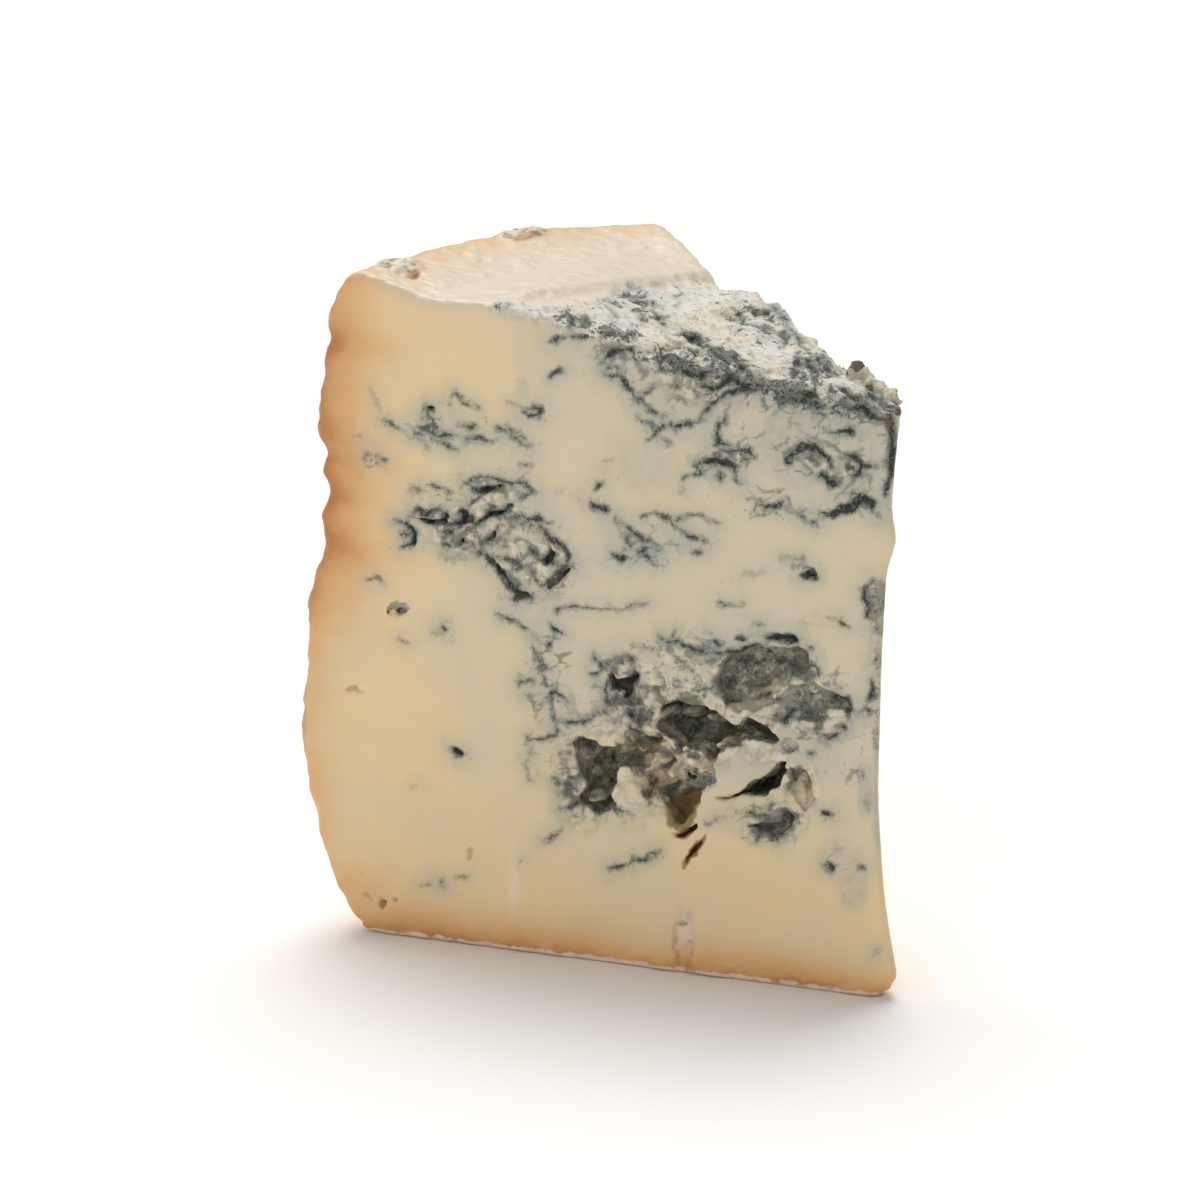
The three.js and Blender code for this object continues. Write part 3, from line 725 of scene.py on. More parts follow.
VEINS_RIGHT_OF_THE_CAVE = (
    (0.6, 0.85, 48.3, 48.3, 49.5, 48, 51, 47.8, 53, 47.2, 54.5, 47.1, 56, 47.3),
    (0.6, 0.8, 56, 47.3, 58, 47, 60, 47.3, 61.5, 47.9, 62.6, 48.5, 64, 48.5),
    (0.5, 0.9, 64.5, 47.9, 67, 48.3, 68.8, 48.5, 70, 48),
    (0.5, 0.7, 49.4, 46.4, 50.4, 45.5, 52.5, 44.2),
    (0.6, 0.6, 49.8, 48.1, 50.6, 49.3),
    (0.9, 0.95, 64.2, 49.9, 66, 50.1, 68, 50, 69, 49.7),
    (0.6, 0.6, 70.3, 49.2, 71.3, 49),
    (0.7, 0.8, 60, 49.3, 61.2, 49.2),
    (0.8, 0.85, 56, 48.5, 57.5, 48.2),
    (0.3, 0.5, 62.3, 51.6, 64, 51.6),
    (0.3, 0.4, 54.8, 49.9, 56, 49.8),
    (0.5, 0.7, 75.3, 53.1, 76.6, 52.5),
    (0.3, 0.4, 73.2, 53.6, 74.5, 53.4),
    (0.3, 0.3, 69.5, 52.5, 71, 52.5),
    (0.3, 0.6, 57, 54.2, 58.4, 53.9, 60.5, 54.2),
    (0.5, 0.6, 51, 40.5, 53.5, 41, 55.5, 41.8, 57, 42.3),
    (0.6, 0.7, 56.5, 43, 58, 41.8, 58.2, 40.4),
    (0.6, 0.85, 70.4, 45.8, 70.6, 46.6, 71.5, 46.3, 72, 45.6, 71, 45.3),
    (0.8, 0.88, 72, 42, 73.5, 42, 75, 42.3, 76.2, 42.3, 76.8, 41.4, 77.3, 40.5),
    (0.7, 0.8, 72.3, 41.3, 73.2, 40.4),
    (0.4, 0.5, 70, 37.3, 71, 37.6, 72.3, 37.6),
    (0.6, 0.8, 73, 36.8, 74, 36.6, 74.6, 37.2),
    (0.3, 0.4, 73.8, 36.6, 73.6, 35.6),
    (0.6, 0.8, 74.9, 38.1, 76.2, 38),
    (0.4, 0.6, 70.6, 34, 71.6, 34.2),
    (0.6, 0.85, 72.9, 25.7, 74.3, 25.8),
    (0.3, 0.4, 74.6, 20.8, 75.5, 21),
    (0.9, 0.85, 73.7, 18.7, 74.3, 18, 74.9, 18.3),
    (0.6, 0.8, 78.5, 18.8, 79, 18.3),
    (0.4, 0.8, 78.7, 32.4, 79, 31.4),
    (0.6, 0.8, 66.4, 34.6, 67.3, 34, 68.8, 34.2),
    (0.7, 0.8, 66, 38.4, 67, 38, 67.8, 39.6, 69, 40.2),
    (0.4, 0.7, 59.8, 24.7, 61, 24.5, 63, 24.2, 64, 24.8, 65.3, 26),
    (0.5, 0.8, 62, 22.4, 63.5, 23, 65, 23.2, 66.4, 23.6),
    (0.9, 0.9, 66.8, 25, 68, 24.4, 67.4, 23, 66.2, 21.6),
    (0.3, 0.45, 55.4, 22.4, 58, 23.6),
    (0.5, 0.6, 40.4, 23.4, 41.6, 22.4, 43.6, 22.3),
)

VEINS_MIDDLE = (
    (0.5, 0.85, 45.5, 65.4, 47, 65.7, 48.5, 65.6, 49.5, 65, 50.5, 64, 52, 63.1),
    (0.5, 0.8, 52, 63.1, 53.5, 62.8, 55.5, 62.7),
    (0.3, 0.7, 50.5, 65.3, 52, 65.7, 54, 66.1, 56, 65.7, 57, 65.3),
    (0.4, 0.75, 41.5, 64.3, 43, 63.7, 45, 62.6, 47, 61.8, 48.3, 61.5),
    (0.4, 0.7, 42, 63.5, 43, 62, 44, 60.8, 45, 60),
    (0.5, 0.8, 43, 60.5, 44.8, 60.2, 46, 60.9, 48, 60.7),
    (0.5, 0.8, 45.5, 60, 46.5, 59.3, 47.5, 58.7),
    (0.9, 0.9, 40.8, 59.3, 42, 59, 43.2, 59),
    (0.5, 0.5, 49, 61.8, 50.5, 61.5),
    (0.6, 0.6, 53, 61, 54.5, 61),
    (1, 0.9, 37.5, 66.7, 38.3, 66.2, 39, 66, 40, 65.5),
    (0.5, 0.7, 38.2, 68.6, 39, 69.5, 39.4, 70.2),
    (0.3, 0.35, 40, 72.8, 41, 73),
    (0.5, 0.95, 69.4, 58.9, 70.5, 58.8, 71.3, 59, 71, 60, 70.6, 60.3),
    (0.4, 0.45, 66.3, 61, 67.5, 61.5, 70, 61.6),
    (0.3, 0.3, 60.3, 58.2, 64, 59.2),
    (0.3, 0.65, 32, 50.7, 33, 51.4, 36, 51.5, 40, 51.7, 43, 52.1, 46.5, 53),
    (0.3, 0.3, 32, 67.6, 33, 68.2),
    (0.8, 0.8, 63.2, 68.6, 64.5, 68.4, 65.7, 68.5, 66.5, 69),
    (0.4, 0.4, 66.5, 68.6, 68, 67.9, 71, 68),
    (0.4, 0.75, 69.2, 67.4, 70, 66.8, 71.7, 66.4),
    (1.2, 0.88, 72.3, 68, 74, 68.3, 75.3, 69, 77, 69.5, 78.5, 70.5, 79.7, 70.2, 80, 69.2),
    (0.6, 0.7, 76.8, 71, 78.5, 71.3),
    (0.4, 0.8, 80.5, 68.6, 80.7, 68.4),
)

VEINS_UPPER_RIGHT = (
    (0.6, 0.8, 39.5, 84.9, 42, 84.6, 42.8, 83.8, 43.5, 82.8, 44.5, 82, 46, 80.7, 48.5, 79.5),
    (0.4, 0.65, 44.3, 82.6, 46.2, 82.7, 47.5, 83.5),
    (0.4, 0.75, 44.6, 79.6, 46, 79, 47, 78.2, 47.7, 77.3, 46.8, 76.4, 46.3, 75.7),
    (0.5, 0.8, 47.7, 77.3, 48.5, 78.3, 50, 78.4, 52, 78.8, 54, 79.5, 55, 80.8),
    (0.7, 0.8, 55, 80.8, 56.5, 82, 57.5, 83.2, 59, 83.8, 61, 84.2, 62.8, 84.3),
    (0.3, 0.6, 48, 77, 49, 76.2, 50, 76.1),
    (0.7, 0.8, 58.2, 81.5, 58, 80, 57, 79, 56.6, 77.8, 57, 76.7, 58.3, 76.5),
    (0.6, 0.75, 56.5, 76.2, 58.3, 75.2, 59.7, 75.6, 61.5, 76, 62.3, 75.2, 60.5, 74.6),
    (0.9, 0.9, 54.5, 73.6, 56, 74.1, 58, 73.8, 59.5, 73, 59.5, 72.2),
    (0.6, 0.8, 51.8, 71.2, 53, 71.8, 54.3, 72.2, 53.3, 73, 55, 74.5),
    (0.6, 0.7, 56.8, 72.3, 57.5, 71.4),
    (0.6, 0.7, 59.2, 71.7, 59.8, 71.3),
    (0.4, 0.4, 50.9, 69.2, 51.8, 69.8),
    (1, 0.85, 66.9, 75.4, 68, 76, 69, 76.9, 70.3, 77.3, 71.8, 76.8, 73, 75.7, 73.6, 74.4),
    (0.7, 0.8, 66.9, 75.5, 67.4, 74.5, 68.2, 74.9),
    (0.7, 0.75, 75.2, 76, 76.8, 76.1, 78, 75.3, 77.7, 74, 76.5, 73.4),
    (0.5, 0.88, 78, 75, 79.5, 75.2, 81.3, 75.2),
    (1.1, 0.9, 72, 73.3, 73.5, 72.3, 74.7, 72),
    (0.7, 0.88, 72.5, 79.4, 74, 79.4, 75.5, 79.5, 76.8, 80, 76.6, 79.2),
    (0.8, 0.88, 65.8, 82.6, 67.2, 83.1, 68.5, 83.1, 70.5, 83, 71.7, 82.4),
    (0.7, 0.8, 66.8, 84.6, 69, 84.1, 71, 83.9, 73, 84.5),
    (0.5, 0.5, 67.9, 80.9, 67.5, 79.6),
    (0.5, 0.7, 71, 82, 72.2, 81.4),
    (1, 0.9, 74.5, 83.3, 76, 82.6, 78, 82.9, 79.5, 82, 81, 81.6),
    (0.9, 0.97, 81.9, 82.8, 82.5, 81, 82.6, 79, 82.5, 77, 82.4, 75, 82.2, 73, 81.8, 71.4),
    (0.6, 0.8, 80.8, 82, 81.6, 81.4, 82, 80.6),
    (0.8, 0.8, 48.6, 85.6, 50.5, 86.3, 52, 86, 54, 85.6, 55.4, 86.2),
    (0.9, 0.85, 53.6, 84.4, 55.5, 84, 57, 84.5, 58.5, 85.5, 60, 84.6, 63, 85),
    (1, 0.98, 57.4, 85.2, 58.4, 86.2, 58.9, 87),
    (0.8, 0.75, 38.9, 86.6, 40, 87.5, 41.5, 88.2, 43.5, 88.5),
    (0.6, 0.6, 40, 85.8, 41, 86, 42.3, 85.8),
    (0.7, 0.85, 31, 88.8, 32, 89.3, 33.5, 89.9),
    (0.6, 0.85, 35, 89.8, 36, 89.9, 37.5, 90.5, 38.5, 91),
    (0.5, 0.85, 31.2, 84, 32.5, 84.8, 33.3, 85),
    (0.4, 0.6, 30.7, 91.8, 33, 92.1, 35, 91.6, 36, 92.3),
)

VEINS_ON_THE_TIP = (
    (0.8, 0.85, 79.9, 59.5, 79, 58, 78.8, 57, 79.5, 55.8, 79.3, 54.5, 79.8, 53.8),
    (0.9, 0.7, 80, 45, 80.2, 43.5, 79.3, 42.4),
    (0.7, 0.75, 79.5, 41.2, 80.2, 40.4),
    (0.6, 0.7, 80, 47.8, 80.8, 48.1),
    (0.5, 0.6, 80.3, 52.3, 80.9, 52.7),
    (0.4, 0.5, 81, 6.2, 81.6, 6.9),
)

VEINS_NEAR_THE_FOOT = (
    (0.3, 0.55, 10.5, 8.1, 12, 8.4),
    (0.5, 0.6, 13.5, 9, 13.9, 8.7),
    (0.4, 0.45, 16.3, 10, 18, 10.4),
    (0.4, 0.85, 40.6, 14, 43, 15, 45, 16, 47, 17, 48.2, 17.6),
    (0.3, 0.65, 30, 17, 31.5, 17.8, 33, 19),
    (0.4, 0.3, 26.4, 13.5, 26.8, 13.5),
    (0.4, 0.25, 9, 22.6, 10.4, 22.9),
)

FRONT_VEINS = (
    VEINS_BY_THE_RIND
    + VEINS_UPPER_CRACKS
    + VEINS_LEFT_OF_THE_CAVE
    + VEINS_RIGHT_OF_THE_CAVE
    + VEINS_MIDDLE
    + VEINS_UPPER_RIGHT
    + VEINS_ON_THE_TIP
    + VEINS_NEAR_THE_FOOT
)

# Patches coated with grey mould: x, z, half length, half height, tilt, strength.
MOULD_PATCHES = (
    (66, 85, 18, 2, -5, 0.38),
    (50, 87, 6, 2, 8, 0.42),
    (75, 83, 8, 2, -8, 0.45),
    (60, 87, 5, 2, 0, 0.45),
    (40.2, 89, 3.6, 1.8, 20, 0.42),
    (48, 47, 4, 1.4, -10, 0.35),
    (66, 41, 9, 3, 5, 0.55),
    (74, 41.6, 3, 0.9, 0, 0.6),
    (36, 27, 4.6, 6.6, 0, 0.62),
    (29.5, 61.5, 3.5, 1.6, -30, 0.45),
    (72, 75.4, 3, 1.4, -35, 0.7),
    (74, 73.6, 2.2, 1.6, -35, 0.75),
    (77.2, 74.6, 1.8, 1.8, 0, 0.7),
    (58.8, 74.4, 3.4, 1.7, 0, 0.75),
    (78, 70, 2.6, 1.2, 10, 0.62),
    (12.5, 62.8, 2.6, 0.9, 0, 0.7),
    (7.3, 48.8, 2, 1.1, 5, 0.75),
    (69, 60.4, 1.8, 0.9, 10, 0.35),
    (17, 60.2, 2.8, 2.2, 10, 0.62),
    (20.5, 67.2, 2.4, 1.1, 10, 0.5),
    (32.6, 60, 2.6, 1.1, -40, 0.7),
    (24.6, 54.4, 2.4, 1.2, -50, 0.7),
    (29.6, 58.6, 1.6, 1.4, 0, 0.5),
    (42, 43.6, 3.6, 1.8, 0, 0.6),
    (42.4, 38.6, 2.4, 2.6, -20, 0.5),
    (55.5, 45.8, 4.2, 1.6, 5, 0.52),
    (58.5, 42, 2.2, 2, 0, 0.75),
    (70, 42.2, 3.4, 2, -5, 0.8),
    (65.6, 22.8, 3.6, 1.8, 25, 0.62),
    (67.6, 34.6, 2, 1.4, 10, 0.6),
    (55, 85.6, 7.5, 1.9, 4, 0.55),
    (68.8, 83.6, 4, 1.5, 0, 0.5),
    (77.6, 83.2, 4, 1.4, -12, 0.55),
    (44.6, 38.4, 2.2, 3.6, -25, 0.62),
    (47.6, 30, 4.4, 5, 0, 0.6),
    (63.6, 44, 7, 5, 0, 0.62),
    (52, 43.4, 5, 2, -15, 0.45),
    (73.4, 38, 3.6, 1.6, 0, 0.4),
    (67.8, 26, 2.4, 2.6, 0, 0.45),
    (81.6, 50, 1.5, 9.5, 0, 0.48),
    (81.2, 38.5, 1.2, 4.5, 0, 0.42),
    (81, 56.4, 1.9, 3.6, 0, 0.62),
    (82.7, 78.5, 1, 5.5, 0, 0.66),
    (80.2, 43.6, 1.2, 2.4, 0, 0.6),
)

# Soft bluish shade where mould lies just under the surface, in the same six columns. The last row is
# painted shade that darkens the tip's facet.
SHADE_PATCHES = (
    (28, 88, 2.6, 6, 0, 0.18),
    (27, 81.5, 1.4, 2.6, 0, 0.5),
    (77.4, 15.4, 2.8, 3.6, 0, 0.55),
    (18.2, 79.4, 2.4, 1.3, 0, 0.4),
    (50, 80, 8, 4, -10, 0.58),
    (71.5, 78, 11, 8, 0, 0.78),
    (46, 73, 7, 5.5, 0, 0.4),
    (31, 38, 4.5, 7.5, 0, 0.3),
    (48, 42, 14, 7, 0, 0.5),
    (66, 38, 11, 12, 0, 0.5),
    (73, 34.5, 2.6, 5, 20, 0.35),
    (64, 24, 6, 3.5, 10, 0.4),
    (57.5, 23, 3, 2, 0, 0.35),
    (79.4, 28.8, 1.4, 3.8, 0, 0.7),
    (81.4, 50, 3, 12, 0, 0.6),
    # painted shade, not mould: the tip's facet made darker, as if in shade
    (82, 29, 1.6, 12, 0, 0.7),
)

# Where fine veins crowd between the drawn ones, in the same six columns.
CROWDED_ZONES = (
    (66, 84, 18, 3.2, -6, 0.78),
    (45, 87, 8, 3.5, 10, 0.85),
    (73, 75, 9, 5, -8, 0.75),
    (58, 76, 7, 5, 30, 0.75),
    (50, 80.5, 9, 4, -15, 0.45),
    (66, 69, 12, 3.5, 10, 0.5),
    (48, 62.5, 9, 4, 10, 0.6),
    (20, 62.5, 12, 4.5, 5, 0.65),
    (28.5, 57, 7, 6.5, 0, 0.75),
    (13, 75, 7, 3.5, 0, 0.65),
    (24.5, 75.5, 6, 3, 0, 0.6),
    (28.5, 79, 3, 2, 0, 0.75),
    (31, 41, 5.5, 9, 0, 0.7),
    (31, 30, 5, 7, 0, 0.45),
    (50, 44, 14, 5, 0, 0.75),
    (66, 42, 13, 8, 0, 0.85),
    (43, 40, 7, 7, 0, 0.6),
    (38, 27, 6, 8, 0, 0.5),
    (65, 24, 6, 4, 20, 0.8),
    (76, 38, 5, 9, 0, 0.4),
    (77, 18, 4, 5, 0, 0.35),
    (3, 70, 3.5, 2, 0, 0.55),
    (81.5, 57, 3, 5, 0, 0.8),
    (82, 76, 2.5, 9, 0, 0.9),
    (81, 43, 2, 5, 0, 0.6),
)

# Where the cut is broken and crumbly instead of smooth, in the same six columns.
CRAGGY_ZONES = (
    (20, 61.5, 9.5, 4, 10, 0.6),
    (29.5, 57.5, 5.5, 5, 0, 0.5),
    (22.5, 66.8, 4.5, 1.8, 5, 0.5),
    (44, 40, 5.5, 5.5, 0, 0.8),
    (33, 36, 4, 4, 0, 0.35),
    (36.5, 26, 5, 7, 0, 0.8),
    (48, 29, 6.5, 6, 0, 0.9),
    (51, 44, 6, 2.6, -15, 0.45),
    (72, 40, 6, 4, 0, 0.7),
    (49, 36, 13, 7, 0, 0.6),
    (42, 28, 9, 7.5, 0, 0.5),
    (64, 43, 10, 6.5, 0, 0.7),
    (64, 34, 5, 2.6, 0, 0.3),
    (65.5, 23, 5, 2.6, 20, 0.8),
    (69.5, 29.5, 3, 3.4, 0, 0.6),
    (56, 85, 10, 3, 0, 0.6),
    (73, 83.5, 10, 2.6, -8, 0.6),
    (75, 74.5, 5, 2.6, 0, 0.4),
    (58, 74.4, 4, 2.2, 0, 0.4),
    (52, 5, 1.6, 5, 0, 0.5),
)

# Bare pale curd inside the hollows, in the same six columns.
BARE_CURDS = (
    (47.6, 29.6, 4.8, 4.6, 20, 0.62),
    (44.8, 38.2, 2.4, 3.4, -25, 0.5),
    (69.6, 28.4, 1.9, 3.2, 10, 0.95),
    (62, 44.6, 1.6, 0.7, 30, 0.6),
    (65.2, 46.4, 1.2, 0.6, -20, 0.6),
    (59.6, 42.6, 1, 0.6, 20, 0.5),
    (63.6, 43, 4, 2.6, 20, 0.55),
    (61, 40.6, 2.6, 1.4, 0, 0.45),
    (35.6, 30.4, 1.6, 2.4, 10, 0.5),
    (37, 24.2, 2.4, 1.6, 0, 0.35),
    (52.6, 36.4, 2.6, 1.2, -10, 0.38),
    (56.2, 36, 2.4, 1, -10, 0.35),
    (42.4, 30.6, 2.4, 1.4, 0, 0.38),
    (43.6, 25.2, 2.5, 4.2, 20, 1),
    (46, 34.8, 1.5, 1.3, 0, 1),
    (47.3, 36.6, 1.5, 0.9, 35, 0.9),
    (48.5, 33, 1.7, 1.1, 0, 0.8),
    (49.8, 28.6, 1.4, 1.3, -20, 1),
    (52.6, 31, 2.2, 1.6, -8, 1),
    (54.4, 29.8, 1.8, 1, 30, 1),
    (57, 33.4, 2.3, 0.8, 18, 0.8),
    (61.5, 39.2, 5, 1.1, 10, 0.9),
    (66, 42.6, 1.6, 1.8, 20, 0.7),
    (64, 40.6, 1.4, 1, 0, 0.5),
    (47.4, 30.2, 1.8, 2.4, 20, 0.45),
    (48.1, 26.9, 1.3, 0.8, 20, 0.6),
    (47.4, 24.6, 1, 0.7, -30, 0.9),
    (50.3, 21.2, 0.9, 0.9, 0, 0.9),
    (53.4, 22.8, 1.4, 0.7, 30, 0.9),
    (66.6, 36.9, 1.9, 0.8, 15, 0.9),
    (68, 33, 1.9, 0.7, 12, 0.9),
)

# Brown inside the hollows, in the same six columns: mostly stain, with painted shadow in two places.
BROWN_STAINS_AND_SHADOWS = (
    (51.4, 23.6, 2.6, 3.2, -30, 0.95),
    (52.8, 26, 2.6, 1.8, 0, 0.45),
    (50.4, 33.2, 1.2, 1.2, 0, 0.35),
    (55.6, 31.8, 1.6, 0.9, 30, 0.6),
    # painted shadow, not stain: the shade inside the small hollow left of the middle curds
    (46, 25.6, 1.4, 1.2, 0, 0.6),
    (48.6, 31.2, 1, 1.2, 0, 0.45),
    (53.4, 34.8, 2.4, 1.6, 0, 0.3),
    (53.4, 17.8, 2.6, 0.8, 58, 0.7),
    # painted shadow, not stain: the shade under the lower lip of the crescent hollow
    (52, 20.6, 2.2, 0.9, 25, 0.7),
    (36.2, 30.6, 1.6, 1.8, 0, 0.35),
    (62.6, 44.4, 2.6, 2.4, 0, 0.3),
    (79.6, 28.6, 1, 3.4, 0, 0.4),
)

# Streaky mould on the torn top, in plan: x, y, half length, half width, turn, strength.
TOP_MOULD = (
    (33.2, 22, 2, 8, 5, 0.55),
    (39.5, 15.5, 4.6, 2.2, -50, 0.65),
    (48.6, 10, 4.6, 2.8, -50, 0.9),
    (57, 4, 6.5, 3.2, -35, 0.95),
    (51.5, 24, 4.5, 4, -40, 0.4),
    (60.5, 20, 9, 1.2, -50, 0.25),
    (66.5, 10.5, 5.5, 3.6, -55, 0.9),
    (68, 4.5, 5, 3, -40, 0.75),
    (45.5, 33, 8, 1.6, -60, 0.4),
    (33.5, 3, 3.4, 3.4, 0, 0.85),
    (40.4, 2.8, 3.8, 3.4, -40, 1),
    (46, 2, 5, 2, 0, 0.7),
    (80.5, 2.5, 4.5, 3.5, 0, 0.95),
    (62, 1, 16, 1.8, 0, 0.85),
    (55.5, 17.5, 8, 3.2, -50, 0.48),
    (66.5, 15, 4, 2, -50, 0.5),
)

# Cracks and dark strands of the torn top, in plan: width, darkness, then x and y of each point.
TOP_VEINS = (
    (1.2, 0.95, 34.9, 23.5, 35.6, 21.5, 36.4, 19.4),
    (0.5, 0.65, 32.2, 30, 32, 25, 31.4, 20, 32.4, 15.6),
    (0.4, 0.6, 33.5, 28, 34.2, 24, 33.8, 20.5),
    (0.4, 0.65, 36.8, 33, 37.6, 29, 38.4, 26.6),
    (0.5, 0.75, 36.2, 24, 38, 20, 39.6, 17.6, 41, 15.8, 42.6, 13.8),
    (0.6, 0.85, 38.4, 18.6, 40.2, 16.8, 41.4, 14.6, 42.9, 13),
    (0.4, 0.6, 33.6, 16.4, 36, 15.8, 38.6, 14.4, 40.5, 12.4),
    (0.4, 0.6, 33, 13.6, 35.5, 11.8, 37.2, 9.8, 38, 7),
    (1.6, 0.95, 47.4, 12.6, 48.6, 10.4, 49.6, 8.6, 51.2, 6.8),
    (0.8, 0.85, 45.6, 10.6, 47.6, 9.6, 49.6, 7.6, 50.8, 6.2),
    (0.5, 0.8, 50.4, 9.8, 52.6, 7.2, 54.4, 5.2, 56.6, 3.6),
    (0.9, 0.9, 52.6, 5.6, 55, 4.4, 57.2, 3.4, 59.6, 1.4),
    (0.8, 0.9, 54, 7, 57, 5.2, 59, 3.2, 61, 1),
    (0.7, 0.85, 50.6, 4.2, 52.8, 2.8, 55, 1.4, 58.2, 0.2),
    (0.5, 0.75, 49, 24.8, 50.6, 22.8, 51.4, 21, 53.6, 21, 56, 19.8),
    (0.4, 0.7, 47.8, 25.6, 49.4, 24.2, 50.6, 25.6, 52.4, 26.8, 54.4, 28.4),
    (0.4, 0.7, 52, 28.6, 54.6, 27.6, 56.6, 26),
    (0.4, 0.9, 53, 28.8, 56, 25.6, 58.8, 22.6, 61.2, 19.2, 63.6, 16.6, 66, 14.4, 68.6, 12.2),
    (0.4, 0.6, 56.4, 24.4, 58.4, 20.4, 59.4, 17),
    (0.5, 0.7, 61.6, 16.6, 63.4, 13.2, 64.6, 9.6, 65.4, 6.2),
    (1.2, 0.85, 64.4, 14, 65.8, 11.8, 67, 9.2, 68.2, 7.6),
    (1, 0.85, 66.2, 14, 68, 11.6, 69.4, 9.6),
    (0.7, 0.8, 64.6, 8.2, 65.8, 6, 66.6, 3.6),
    (0.5, 0.7, 68, 6.8, 70, 3.4, 72, 1.4),
    (0.7, 0.8, 31.6, 5.4, 33, 3.8, 34, 1.4, 35, -0.2),
    (0.6, 0.8, 33.8, 5.6, 35.4, 3.6, 36, 1),
    (0.5, 0.6, 23.6, 4.4, 24.2, 2.8, 24.4, 1.2),
    (0.6, 0.75, 38.6, 4.8, 40, 2.8, 41, 0.4),
    (0.8, 0.9, 76.4, 5.8, 79, 3, 81, 0.8),
    (0.9, 0.85, 73, 4, 76, 2.4, 79, 0.4),
)

# Brown on the top, in plan: painted shadow on the shaded side of each scab, and a dry spot.
TOP_STAINS_AND_SCAB_SHADOWS = (
    # painted shadow: the shaded side of each of the two scabs
    (6.3, 7, 0.9, 3, 5, 0.62),
    (10.4, 35.8, 0.9, 3.6, -14, 0.7),
    (55, 21.5, 1.2, 1.6, 0, 0.6),
)

# Brown where the paste has dried or the needle went in, and one painted shadow under a lip: width,
# strength, then x and z pairs.
BROWN_MARKS = (
    (0.7, 0.7, 51.7, 15.4, 53, 17.4, 54.4, 19.4, 55.3, 20.4),
    # painted shadow, not a dry mark: the shade under the crescent hollow's lower lip
    (0.6, 0.6, 50.2, 20.2, 51.4, 20.2, 52.6, 20.8, 53.8, 21.8),
    (0.6, 0.4, -1.2, 36, 0, 36.2, 0.8, 36),
    (0.7, 0.5, 4, 5.6, 4.3, 4.6, 4.8, 5),
    (0.5, 0.35, 1.2, 5.8, 2.4, 5.6),
    (0.4, 0.45, 5.9, 5.7, 6.7, 5.6),
    (0.5, 0.5, 76.2, 30.6, 77, 31.9, 78, 32.6),
    (0.6, 0.45, 69.8, 26.4, 70.4, 27.8, 70.4, 29.8),
    (0.4, 0.5, 51.6, 82.2, 52.1, 81.6),
    (0.8, 0.48, 81.8, 81.6, 82.2, 80.4),
    (0.5, 0.4, 18.2, 13, 18.8, 14.4),
    (0.5, 0.4, 17.6, 68, 18.3, 68.1),
)

# Pale lines that the piercing needles left, in the same six columns.
PIERCED_CHANNELS = ((25.4, 10.5, 0.9, 6.0, 0, 0.55), (52.0, 5.0, 1.2, 4.6, 0, 0.75))

VEIN_SPREAD = 1.35  # drawn lines come out this much wider than their width
PATCH_EDGE = (0.55, 1.25)  # a patch fades out between these shares of its outline


def drawn_lines(places, rows, reach=4.0):
    """How far inside the nearest drawn line each place lies, its ink and the halo round it."""
    inside = np.full(len(places), -reach, dtype=np.float32)
    ink = np.zeros(len(places), dtype=np.float32)
    clear = np.ones(len(places), dtype=np.float32)
    for width, darkness, *flat in rows:
        line = np.reshape(flat, (-1, 2)).astype(np.float32)
        low, high = line.min(axis=0) - reach, line.max(axis=0) + reach
        near = np.flatnonzero(np.all((places > low) & (places < high), axis=1))
        pieces = len(line) - 1
        closest = np.full(len(near), reach, dtype=np.float32)
        for piece in range(pieces):
            distance, share = segment_distance(places[near], line[piece], line[piece + 1])
            travelled = (piece + share) / pieces
            taper = 0.4 + 0.6 * np.sin(math.pi * np.clip(travelled, 0.02, 0.98))
            depth = 0.5 * VEIN_SPREAD * width * taper - distance
            better = depth > inside[near]
            inside[near] = np.where(better, depth, inside[near])
            ink[near] = np.where(better, darkness, ink[near])
            closest = np.minimum(closest, distance)
        clear[near] *= 1.0 - 0.7 * darkness * np.exp(-((closest / (1.4 + width)) ** 2))
    return inside, ink, 1.0 - clear


def patches(places, rows):
    """The strongest of some soft-edged oval patches."""
    strongest = np.zeros(len(places), dtype=np.float32)
    for *oval, strength in rows:
        soft = 1.0 - smooth_step(*PATCH_EDGE, oval_reach(places, *oval))
        strongest = np.maximum(strongest, strength * soft)
    return strongest


# ---- Relief and empty space of the faces -----------------------------------------------------

GROOVE_DEPTH = 0.25  # of a drawn vein
CRACK_DEPTH = 1.1  # more for the darkest drawn veins
GROOVE_INSET = 0.04  # a groove is this much narrower than its line on each side
GROOVE_END_X = (77.5, 79.0)  # grooves fade out between these, before the tip's facets
TOP_GROOVE = 0.55
HOLLOW_CRUMBS = 1.7
HOLLOW_REACH = ((-3.0, 84.0), 13.0, (1.0, 90.0))  # x, y and z within which the front is carved


def torn_folds(points):
    """Folds, creases and crumbs of the torn top."""
    grain = along_grain(points)
    folds = np.abs(noise(grain, (6.0, 1.6, 2.0), SEED + 1)) * 1.8 - 0.5
    folds += 0.6 * np.abs(noise(warped(grain, 0.8, 2.0), (2.8, 0.9, 1.2), SEED + 2))
    return TOP_FOLDS * folds + 0.14 * layered_noise(points, 1.3, SEED + 3, layers=2)


def crag_depth(points, faces):
    """Creases between the crumbs where a cut is broken instead of smooth."""
    on_cut = smooth_step(-1.6, -0.4, np.maximum(faces["front"], faces["back"]))
    crags = on_cut * patches(cut_places(points, faces)[0], CRAGGY_ZONES)
    broken = np.flatnonzero(crags > 0.02)
    seams = 1.0 - smooth_step(0.0, 0.3, curd_seams(points[broken]))
    depth = np.zeros(len(points), dtype=np.float32)
    depth[broken] = crags[broken] * (1.8 * (1.0 - crumbly(points[broken])) + 0.8 * seams)
    return depth


